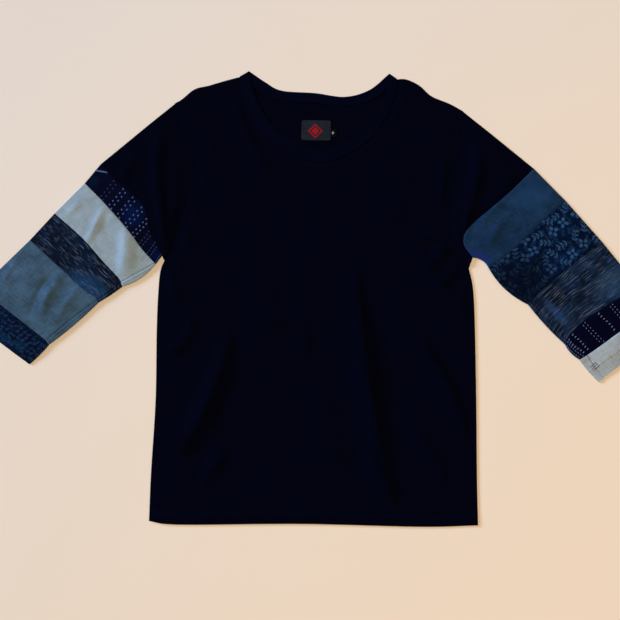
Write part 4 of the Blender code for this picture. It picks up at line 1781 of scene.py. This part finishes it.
@dataclass
class Sleeve:
    """A seven-tenths sleeve: flattened tubes of cloth, sewn edge to edge from the armhole to the cuff."""

    pattern: BodyPattern
    side: Side
    seams: dict[str, tuple[Spot, ...]]
    strips: tuple[Strip, ...]
    folds: tuple[Fold, ...]
    cloth: float = 0.7
    radius: float = 1.7  # of the folds over and under the arm
    armhole_radius: float = 0.8
    cuff_radius: float = 1.0
    crown: float = 1.6
    crown_reach: float = 30.0
    seam_crown: float = 0.4
    sag_from: float = 0.7
    hem_depth: float = 21.0
    step: float = 2.4
    fine_step: float = 0.6  # beside the underarm seam
    fine_reach: float = 16.0
    loose: Waves = Waves(23, 22, 80, 0.5)
    puckers: Puckers = Puckers(1.0, 9.5, 2.2, 17)
    seam_puckers: Ridge = Ridge(0.24, 2.5, 4)
    seam_groove: Ridge = Ridge(-0.55, 0, 1.0)
    seam_fold: float = 0.45  # what is left of the cloth's folds at a seam
    allowance: float = 0.34  # the height of the step where a seam's allowance is turned under
    under_groove: Ridge = Ridge(-1.0, 0, 0.9)
    under_allowance: Ridge = Ridge(0.6, -2.6, 1.6)
    hem_rise: float = 0.6
    hem_puckers: Ridge = Ridge(0.3, -3, 7)
    hem_groove: Ridge = Ridge(0.45, -2.0, 0.9)
    cuff_drop: float = 0.7  # how much lower the cuff's edge lies
    row_steps: Triple = (2.6, 0.75, 4.5)  # between rows, beside the seams, their reach
    turn_shares: tuple[float, ...] = (0.0, 0.02, 0.09, 0.22, 0.42, 0.68, 1.0)  # of the radius
    seam_stitch: Size = (2.3, 0.45, 0.4)
    hem_stitch: Size = (2.5, 0.5, 0.4)
    grids: dict[str, ClothGrid] = field(default_factory=dict)

    def seam(self, name: str) -> Points:
        """A seam's line in plan, from the fold over the arm to the fold under it.

        Args:
            name: the seam.

        Returns:
            Its points.
        """
        if name == "armhole":
            return self.pattern.armhole(self.side, np.linspace(0, 1, 61))[::-1]
        return curve(self.seams[name])

    def under_seam(self, strip: Strip, v: Points) -> Points:
        """The underarm seam's distance from the fold: the parabola through the strip's three values.

        Args:
            strip: the cloth.
            v: the share of the way from its near seam to its far one.

        Returns:
            The distance at each share.
        """
        a, b, c = strip.under
        return a * (1 - v) * (1 - 2 * v) + 4 * b * v * (1 - v) + c * v * (2 * v - 1)

    def relief(self, strip: Strip, plan: Points, distance: Points, inwards: Points, v: Points) -> Points:
        """What the upper layer adds to the tube's own height.

        A crown between the folds, the folds of the cloth, loose waves, a groove at each seam with small
        puckers and, on its far side, the step of the allowance turned under, and the underarm seam.

        Args:
            strip: the cloth.
            plan: its points in plan.
            distance: how far each is from the nearer fold.
            inwards: how far each is from the fold under the arm.
            v: the share of the way from the near seam to the far one, as a column.

        Returns:
            The height that is added.
        """
        reach = np.linalg.norm(self.seam(strip.near).mean(axis=0) - self.seam(strip.far).mean(axis=0))
        middle = np.sin(np.pi * v)
        from_near, from_far = v * reach, (1 - v) * reach
        crown = self.crown * (self.seam_crown + (1 - self.seam_crown) * middle)
        added = crown * ease(distance / self.crown_reach)
        keep = self.seam_fold + (1 - self.seam_fold) * middle
        is_cap, is_cuff = strip.near == "armhole", strip.far == "cuff"
        if is_cap:
            keep = ease(from_near / 22) * (1 - 0.55 * ease(1 - from_far / 12))
            added *= ease(from_near / 26)
        edge = ease(distance / 14)
        across, up = plan[..., 0], plan[..., 1]
        added = added + folds_at(across, up, self.folds) * edge * keep
        added += self.loose.over(across, up) * edge * keep
        around = distance * 0 + np.linspace(0, 1, distance.shape[1]) * distance.max() * 2
        puckers = self.puckers.along(around) * edge
        for gap in (from_near,) if is_cuff else (from_near, from_far):
            added += self.seam_groove.over(gap) * ease(distance / 3) + self.seam_puckers.over(gap) * puckers
        if not is_cap:
            added += self.allowance * (1 - ease((from_near - 6.0) / 1.4)) * ease(distance / 5)
        if is_cuff:
            inner = from_far - self.hem_depth
            hem = self.hem_rise * (1 - ease(inner / 1.5 + 0.5))
            added += (hem + self.hem_puckers.over(inner) * puckers) * ease(distance / 4)
            added -= self.hem_groove.over(inner) * edge
            added -= self.cuff_drop * (1 - ease(from_far / 30)) * ease(distance / 8)
        if strip.under[1] > 0:
            line = self.under_seam(strip, v)
            shown = ease(line / 3) * (1 - 0.75 * ease((v - 0.35) / 0.2) * is_cuff)
            sewn = self.under_groove.over(inwards - line) + self.under_allowance.over(inwards - line)
            added += shown * sewn
        return added

    def grid(self, strip: Strip) -> ClothGrid:
        """The strip's outer face: the seams blended row by row, up over the top and back along the floor.

        Args:
            strip: the cloth.

        Returns:
            Its surface, round the arm and from seam to seam.
        """
        near, far = self.seam(strip.near), self.seam(strip.far)
        outward = self.side.outward
        start = offset(near, -outward * 0.35) if strip.near == "armhole" else near
        ends = np.array([length_of(near), length_of(far)])
        length = ends.mean()
        reach = float(np.linalg.norm(near.mean(axis=0) - far.mean(axis=0)))
        v = graded(reach, *self.row_steps)
        turn = np.array(self.turn_shares) * self.radius
        fine_at = length - self.fine_reach
        inner = np.linspace(1.4 * self.radius, fine_at, round(length / self.step))
        fine = np.arange(fine_at + self.fine_step, length - 1.2 * self.radius, self.fine_step)
        across = np.concatenate([turn, inner, fine, length - turn[::-1]]) / length
        share, rows = across[None, :, None], v[:, None, None]
        plan = (1 - rows) * resample(near, across, start)[None] + rows * resample(far, across)[None]
        chord = far[-1] - start[-1]
        away = outward * np.array([chord[1], -chord[0]]) / np.linalg.norm(chord)
        sag = strip.sag * 4 * rows * (1 - rows) * ease((share - self.sag_from) / (1 - self.sag_from))
        plan = plan + away * sag
        lengths = (ends[0] + (ends[1] - ends[0]) * v)[:, None]
        distance = np.minimum(across, 1 - across)[None] * lengths
        inwards = (1 - across)[None] * lengths
        radius = np.full((len(v), 1), self.radius)
        if strip.near == "armhole":
            wider = ease(v * reach / 30)[:, None]
            radius = self.armhole_radius + (self.radius - self.armhole_radius) * wider
        if strip.far == "cuff":
            wider = ease((1 - v) * reach / 36)[:, None]
            radius = self.cuff_radius + (self.radius - self.cuff_radius) * wider
        bend = half_round(distance / radius, 1.0) * radius
        top = radius + bend + self.relief(strip, plan, distance, inwards, v[:, None]) * ease(distance / 2.5)
        bottom = radius - bend
        points = np.concatenate([np.dstack([plan, top]), np.dstack([plan, bottom])[:, -2::-1]], axis=1)
        around = np.concatenate([across, 2 - across[-2::-1]])
        flat = np.dstack(np.broadcast_arrays(around[None] * length, (v * reach)[:, None]))
        return ClothGrid(points, flat, around, v, turned=self.side is Side.LEFT)

    def build(self) -> list[Item]:
        """Makes every strip of the sleeve.

        Returns:
            The pieces.
        """
        pieces = []
        for strip in self.strips:
            grid = self.grids[strip.piece] = self.grid(strip)
            piece = cloth_object(strip.piece, [grid], strip.finish)
            thicken(piece, self.cloth, outwards=False)
            settle(piece, strip.slot, strip.node)
            size = grid.flat[-1, -1] * MM
            pieces.append(piece)
        return pieces

    def mark(self, stitches: Stitches, piece: str, at: Points, turn: Any, size: Size) -> None:
        """Lays stitches on a strip.

        Args:
            stitches: what they are added to.
            piece: the strip.
            at: each one's place on the flat cloth, from the fold over the arm and from the near seam.
            turn: its angle from the direction along the seam, in radians.
            size: length, width and height.
        """
        grid = self.grids[piece]
        u = at[:, 0] / grid.length * grid.u[-1]
        points, along_u, along_v, normal = grid.at(u, at[:, 1] / grid.reach)
        points[:, 2] = np.maximum(points[:, 2], 0.5 * size[2] - 0.1)
        turn = np.broadcast_to(turn, len(at))[:, None]
        stitches.add(points, along_u * np.cos(turn) + along_v * np.sin(turn), normal, size)

    def seam_stitches(self) -> Item:
        """Sews small stitches beside the underarm seam, and along the hem of the cuff.

        Returns:
            The piece.
        """
        stitches = Stitches(f"{self.side.value}_sleeve_stitching", NAVY_THREAD, self.strips[0].slot)
        for strip in self.strips:
            grid = self.grids[strip.piece]
            length, reach = grid.length / 2, grid.reach
            if strip.under[1] > 0:
                v = np.arange(2.0, reach - 1.5, 3.0) / reach
                line = self.under_seam(strip, v)
                at = np.column_stack([length - line, v * reach])
                self.mark(stitches, strip.piece, at[line > 1.5], np.pi / 2, self.seam_stitch)
            if strip.far == "cuff":
                u = np.arange(3.0, 2 * length - 3, 3.2)
                at = np.column_stack([u, np.full(len(u), reach - self.hem_depth + 2.0)])
                self.mark(stitches, strip.piece, at, 0.0, self.hem_stitch)
        return stitches.build()


def dotted_rows(
    length: float, reach: float, starts: Points, pair_gap: float, step: float, lean: float
) -> Points:
    """Pairs of dotted rows that cross a strip at a slant.

    Args:
        length, reach: the strip's size, from fold to fold and from seam to seam.
        starts: where each pair starts along the near seam.
        pair_gap: the distance between the two rows of a pair.
        step: from dot to dot.
        lean: how far a row strays sideways, as a share of its length.

    Returns:
        The dots' places on the flat cloth.
    """
    along = np.arange(step * 0.5, reach - 1.5, step)
    places = [
        np.column_stack([start + gap + lean * (along + shift), along + shift])
        for start in starts
        for gap, shift in ((0.0, 0.0), (pair_gap, step * 0.3))
    ]
    places = np.vstack(places)
    return places[(places[:, 0] < 2 * length - 2) & (places[:, 0] > 2) & (places[:, 1] < reach - 1.5)]


@dataclass
class LeftSleeveMarks:
    """The pale stitches on the left sleeve's dotted strip."""

    sleeve: Sleeve
    piece: str = "left_dotted_cloth"
    pitch: float = 19.5
    first: float = 33.0  # where the first pair starts
    bright: tuple[int, int] = (1, 5)  # the pairs that stand out, counted from the first
    pair_gap: float = 6.2
    step: float = 6.2
    dot: Size = (3.1, 2.2, 0.5)
    dash: Size = (6.0, 2.6, 0.7)

    def build(self) -> list[Item]:
        """Makes the dots, and the thick dash at the top of the strip.

        Returns:
            The pieces.
        """
        grid = self.sleeve.grids[self.piece]
        length, reach = grid.length / 2, grid.reach
        starts = np.arange(self.first, 2 * length, self.pitch)
        shown = (np.arange(len(starts)) >= self.bright[0]) & (np.arange(len(starts)) < self.bright[1])
        pieces = []
        for name, finish, at in (("left_dots", BRIGHT_DOT, shown), ("left_dim_dots", DIM_DOT, ~shown)):
            dots = Stitches(name, finish, "dotted_navy")
            places = dotted_rows(length, reach, starts[at], self.pair_gap, self.step, 0.06)
            self.sleeve.mark(dots, self.piece, places, 1.35, self.dot)
            pieces.append(dots.build())
        dash = Stitches("left_dash", DASH_THREAD, "dotted_navy")
        k = np.arange(5)
        at = np.column_stack([2.6 + 3.1 * k, 9.2 - 1.75 * k])
        self.sleeve.mark(dash, self.piece, at, -0.51, self.dash)
        return pieces + [dash.build()]


@dataclass
class RightSleeveMarks:
    """The pale running stitches on the right sleeve's last navy strip, and the bar tacks of its cuff."""

    sleeve: Sleeve
    piece: str = "right_stitched_cloth"
    cuff: str = "right_pale_cloth"
    pitch: float = 49.0  # from one pair of dotted rows to the next
    pair_gap: float = 5.0
    step: float = 5.0
    wave_step: float = 5.0
    first: float = 24.6  # where the first row of dashes lies, half a pitch before the first pair of rows
    under: float = 132.0  # where one more row of each lies, beside the underarm seam
    dot: Size = (2.4, 1.4, 0.5)
    dash: Size = (3.8, 1.7, 0.55)
    tack: Size = (3.6, 1.0, 0.9)
    tack_turn: float = 0.2

    def build(self) -> list[Item]:
        """Makes pairs of dotted rows with a row of leaning dashes between each two, and the bar tacks.

        Returns:
            The pieces.
        """
        grid = self.sleeve.grids[self.piece]
        length, reach = grid.length / 2, grid.reach
        threads = Stitches("right_running_stitch", RUNNING_THREAD, "stitched_navy")
        starts = np.arange(self.first + 0.5 * self.pitch, 2 * length, self.pitch)
        starts = np.append(starts, self.under + 4.5)
        places = dotted_rows(length, reach, starts, self.pair_gap, self.step, -0.06)
        self.sleeve.mark(threads, self.piece, places, 1.4, self.dot)
        along = np.arange(3.0, reach - 2.0, self.wave_step)
        starts = np.append(np.arange(self.first, 2 * length - 4, self.pitch), self.under)
        for count, start in enumerate(starts):
            sway = 0.9 * np.sin(along / 6 + count)
            at = np.column_stack([start + sway - 0.06 * along, along])
            self.sleeve.mark(threads, self.piece, at, 0.1 + 0.4 * np.sin(along / 5 + count), self.dash)
        tacks = Stitches("cuff_bar_tacks", GREY_THREAD, "pale_grey_cloth")
        cuff = self.sleeve.grids[self.cuff]
        edge, deep = cuff.length / 2 - 10.4, cuff.reach - 25
        k, s = (part.ravel() for part in np.meshgrid(np.arange(3), np.linspace(-4.4, 4.4, 5)))
        c, d = math.cos(self.tack_turn), math.sin(self.tack_turn)
        at = np.column_stack([edge - 0.8 * k + s * c, deep + 3.2 * k + s * d])
        self.sleeve.mark(tacks, self.cuff, at, self.tack_turn, self.tack)
        return [threads.build(), tacks.build()]


def left_sleeve(pattern: BodyPattern) -> Sleeve:
    """Lays out the sleeve on the left of the photograph: its seams, cloths and folds.

    Args:
        pattern: the body that it is sewn to.

    Returns:
        The sleeve, not yet built.
    """
    seams = {
        "cap": (Spot(-324, 535), Spot(-303, 513), Spot(-262, 477), Spot(-249, 452), Spot(-244, 428),
                Spot(-233, 409), Spot(-227, 393)),
        "dotted": (Spot(-347.3, 505), Spot(-314.5, 472), Spot(-278, 431), Spot(-258, 404), Spot(-236, 380)),
        "pale": (Spot(-391.3, 458), Spot(-348.5, 421), Spot(-313, 382), Spot(-291, 359), Spot(-285, 346)),
        "streaked": (Spot(-426.6, 417), Spot(-390.5, 384.5), Spot(-343, 342), Spot(-326, 331),
                     Spot(-320, 322)),
        "denim": (Spot(-498.8, 342.5), Spot(-453.5, 309.5), Spot(-420, 284), Spot(-399, 268),
                  Spot(-391, 259)),
        "cuff": (Spot(-532.3, 311.5), Spot(-465, 263), Spot(-419, 230)),
    }
    strips = (
        Strip("left_sleeve_cap", "left_cap_cloth", "armhole", "cap", 0, (0, 0, 0), JERSEY, "navy_jersey"),
        Strip("left_dotted_strip", "left_dotted_cloth", "cap", "dotted", 0, (0, 0, 0), DOTTED,
              "dotted_navy"),
        Strip("left_pale_strip", "left_pale_cloth", "dotted", "pale", 5, (2, 9, 7), PALE, "pale_chambray"),
        Strip("left_streak_strip", "left_streak_cloth", "pale", "streaked", 0.8, (7, 5, 5), LEFT_STREAKED,
              "streaked_indigo"),
        Strip("left_denim_strip", "left_denim_cloth", "streaked", "denim", 2, (4, 9, 7), DENIM_GREY,
              "washed_denim"),
        Strip("left_print_cuff", "left_print_cloth", "denim", "cuff", 1, (7, 7, 7), LEAF_PRINT,
              "leaf_print"),
    )
    folds = (
        Fold(Spot(-232, 590), Spot(-222, 440), 10, 9, 10, 4.5),
        Fold(Spot(-292, 520), Spot(-258, 440), 0, 7, 9, 2.9),
        Fold(Spot(-330, 478), Spot(-258, 386), -6, 9, 10, 2.6),
        Fold(Spot(-372, 446), Spot(-306, 366), 0, 9, 7, 1.9),
        Fold(Spot(-452, 376), Spot(-352, 312), 8, 10, 10, 2.6),
        Fold(Spot(-478, 318), Spot(-412, 268), 0, 9, 9, 2.2),
        Fold(Spot(-314, 470), Spot(-340, 408), 0, 5, 6, 3.8),
        Fold(Spot(-281, 446), Spot(-287, 362), -3, 15, 8, 6.0),
        Fold(Spot(-352, 474), Spot(-386, 440), 0, 5, 6, 1.9),
        Fold(Spot(-262, 420), Spot(-266, 372), 0, 4, 5, -1.6),
        Fold(Spot(-369, 372), Spot(-405, 300), 4, 6, 6, 3.8),
        Fold(Spot(-386, 372), Spot(-424, 300), 4, 4, 4, -1.9),
        Fold(Spot(-343, 352), Spot(-378, 296), 3, 6, 6, 2.6),
        Fold(Spot(-440, 398), Spot(-466, 346), 0, 6, 7, 2.6),
        Fold(Spot(-236, 480), Spot(-226, 402), -4, 6, 6, 2.9),
        Fold(Spot(-258, 560), Spot(-296, 500), 4, 7, 10, 2.2),
    )
    return Sleeve(pattern, Side.LEFT, seams, strips, folds)


def right_sleeve(pattern: BodyPattern) -> Sleeve:
    """Lays out the sleeve on the right of the photograph: its seams, cloths and folds.

    Args:
        pattern: the body that it is sewn to.

    Returns:
        The sleeve, not yet built.
    """
    seams = {
        "cap": (Spot(338, 528), Spot(303, 494), Spot(273, 468), Spot(248, 447), Spot(232, 431),
                Spot(227, 418), Spot(229, 406), Spot(241, 390)),
        "denim": (Spot(385, 477), Spot(356, 454), Spot(327, 425), Spot(290, 393), Spot(264, 376)),
        "floral": (Spot(437, 414), Spot(392, 380), Spot(374, 366), Spot(349, 346), Spot(322, 319)),
        "streaked": (Spot(487, 347), Spot(430, 312), Spot(403, 294), Spot(381, 273), Spot(375, 259)),
        "stitched": (Spot(510, 315), Spot(457, 279), Spot(430, 260), Spot(408, 245), Spot(395, 237)),
        "cuff": (Spot(534, 282), Spot(455, 229), Spot(422, 204)),
    }
    strips = (
        Strip("right_sleeve_cap", "right_cap_cloth", "armhole", "cap", 0, (0, 0, 0), JERSEY, "navy_jersey"),
        Strip("right_denim_strip", "right_denim_cloth", "cap", "denim", -4, (0, 0, 0), CHAMBRAY,
              "indigo_chambray"),
        Strip("right_floral_strip", "right_floral_cloth", "denim", "floral", 7, (3, 7, 7), FLORAL,
              "floral_print"),
        Strip("right_streak_strip", "right_streak_cloth", "floral", "streaked", 2, (7, 8, 8),
              RIGHT_STREAKED, "streaked_indigo"),
        Strip("right_stitched_strip", "right_stitched_cloth", "streaked", "stitched", 2.5, (8, 9, 10),
              STITCHED, "stitched_navy"),
        Strip("right_pale_cuff", "right_pale_cloth", "stitched", "cuff", 1, (13, 11, 10), PALE_GREY,
              "pale_grey_cloth"),
    )
    folds = (
        Fold(Spot(250, 592), Spot(232, 452), -8, 10, 9, 4.5),
        Fold(Spot(318, 520), Spot(246, 424), 6, 10, 10, 3.5),
        Fold(Spot(366, 470), Spot(286, 386), 0, 9, 9, 2.6),
        Fold(Spot(420, 412), Spot(336, 332), 0, 10, 9, 2.6),
        Fold(Spot(470, 336), Spot(394, 276), 6, 9, 9, 2.6),
        Fold(Spot(262, 560), Spot(300, 500), -4, 10, 7, 2.2),
        Fold(Spot(240, 470), Spot(232, 420), 4, 6, 6, 3.2),
        Fold(Spot(300, 462), Spot(262, 400), 4, 6, 8, 2.2),
        Fold(Spot(350, 420), Spot(300, 350), -5, 6, 7, 2.2),
        Fold(Spot(402, 360), Spot(372, 290), 0, 6, 6, 1.9),
    )
    return Sleeve(pattern, Side.RIGHT, seams, strips, folds)


@dataclass
class Studio:
    """The floor, the light and the camera."""

    cool: Color = (225, 212, 194)  # of the floor at the upper left, painted in the cool lamp's light
    warm: Color = (226, 200, 165)  # and at the lower right, painted in the warm lamp's light
    floor_size: float = 8.0
    floor_drop: float = 0.0001
    sky: tuple[float, float, float, float] = (1.0, 0.985, 0.97, 1.0)
    sky_strength: float = 0.22
    eye: Triple = (-0.004, -0.1259, 0.9219)
    target: Triple = (-0.004, -0.029, 0.0)
    lens: float = 36.0
    sensor: float = 36.0
    far_angle: float = 16.0  # how wide the far lamp looks, in degrees

    def floor(self) -> Item:
        """Makes a wide level floor just under the shirt, with a tone that goes over from cool to warm:
        painted light, cool towards the cool lamp and warm towards the warm one.

        Returns:
            The floor.
        """
        half = 0.5 * self.floor_size
        mesh = bpy.data.meshes.new("floor")
        corners = ((-half, -half), (half, -half), (half, half), (-half, half))
        mesh.from_pydata([(x, y, -self.floor_drop) for x, y in corners], [], [(0, 1, 2, 3)])
        graph = Graph("floor")
        place_at = graph.add("ShaderNodeTexCoord", {}, {}).outputs["Object"]
        parts = graph.add("ShaderNodeSeparateXYZ", {}, {0: place_at})
        x, y = Reading(graph, parts.outputs[0]), Reading(graph, parts.outputs[1])
        # painted light: the floor's tone goes from cool at the upper left to warm at the lower right
        tone = (x - y) * math.sqrt(0.5) + (graph.noise(x * 3, y * 3, 3) - 0.5) * 0.25
        color = graph.mix(tone.rising(-0.8, 1.25), self.cool, self.warm)
        graph.feed(graph.shader, {"Base Color": color, "Roughness": 0.75, "Specular IOR Level": 0.2})
        mesh.materials.append(graph.material)
        floor = bpy.data.objects.new("floor", mesh)
        bpy.context.scene.collection.objects.link(floor)
        return floor

    def lamp(
        self, name: str, at: Triple, size: float, power: float, tone: Color
    ) -> Item:
        """Adds a soft lamp that looks at the shirt: square, or far off and even when its size is 0.

        Args:
            name: the object's name.
            at: where it stands.
            size: its side.
            power: its strength.
            tone: its colour.

        Returns:
            The lamp.
        """
        light = bpy.data.lights.new(name, "AREA" if size else "SUN")
        if size:
            light.size = size
        else:
            light.angle = math.radians(self.far_angle)
        light.energy = power
        light.color = dye(*tone)[:3]
        lamp = bpy.data.objects.new(name, light)
        lamp.location = at
        self.aim(lamp, at, (0.0, 0.0, 0.0))
        bpy.context.scene.collection.objects.link(lamp)
        return lamp

    def aim(self, item: Item, at: tuple[float, ...], target: tuple[float, ...]) -> None:
        """Turns a lamp or a camera from where it stands to a target, with up towards the neck.

        Args:
            item: the lamp or camera.
            at: where it stands.
            target: what it looks at.
        """
        back = unit(np.subtract(at, target))
        side = unit(np.cross((0.0, 1.0, 0.0) if abs(back[2]) > 0.9 else (0.0, 0.0, 1.0), back))
        over = np.cross(back, side)
        columns = np.column_stack([side, over, back, at])
        item.matrix_world = Matrix(np.vstack([columns, (0.0, 0.0, 0.0, 1.0)]).tolist())

    def build(self) -> None:
        """Sets up the floor, a cool main lamp, a warm one opposite, an even sky, and the camera."""
        scene = bpy.context.scene
        scene.view_settings.view_transform = "Standard"
        self.floor()
        self.lamp("window", (-4.6, 2.4, 1.65), 0.0, 6.0, (168, 204, 255))
        self.lamp("ceiling", (0.7, -0.6, 3.8), 3.0, 118.0, (255, 230, 196))
        world = scene.world or bpy.data.worlds.new("sky")
        scene.world = world
        world.use_nodes = True
        background = world.node_tree.nodes["Background"]
        background.inputs["Color"].default_value = self.sky
        background.inputs["Strength"].default_value = self.sky_strength
        eye = bpy.data.cameras.new("camera")
        eye.lens, eye.sensor_width, eye.sensor_fit = self.lens, self.sensor, "HORIZONTAL"
        eye.clip_start, eye.clip_end = 0.01, 50.0
        camera = bpy.data.objects.new("camera", eye)
        scene.collection.objects.link(camera)
        self.aim(camera, self.eye, self.target)
        scene.camera = camera


def main() -> None:
    """Builds the shirt cloth by cloth, then the studio."""
    logging.basicConfig(level=logging.INFO, format="%(message)s")
    pattern = BodyPattern()
    BackPanel(pattern).build()
    front = FrontPanel(pattern)
    front.build()
    front.stitching()
    Neckband(pattern).build()
    NeckLabel().build()
    left, right = left_sleeve(pattern), right_sleeve(pattern)
    for sleeve in (left, right):
        sleeve.build()
        sleeve.seam_stitches()
    LeftSleeveMarks(left).build()
    RightSleeveMarks(right).build()
    Studio().build()


if __name__ == "__main__":
    main()
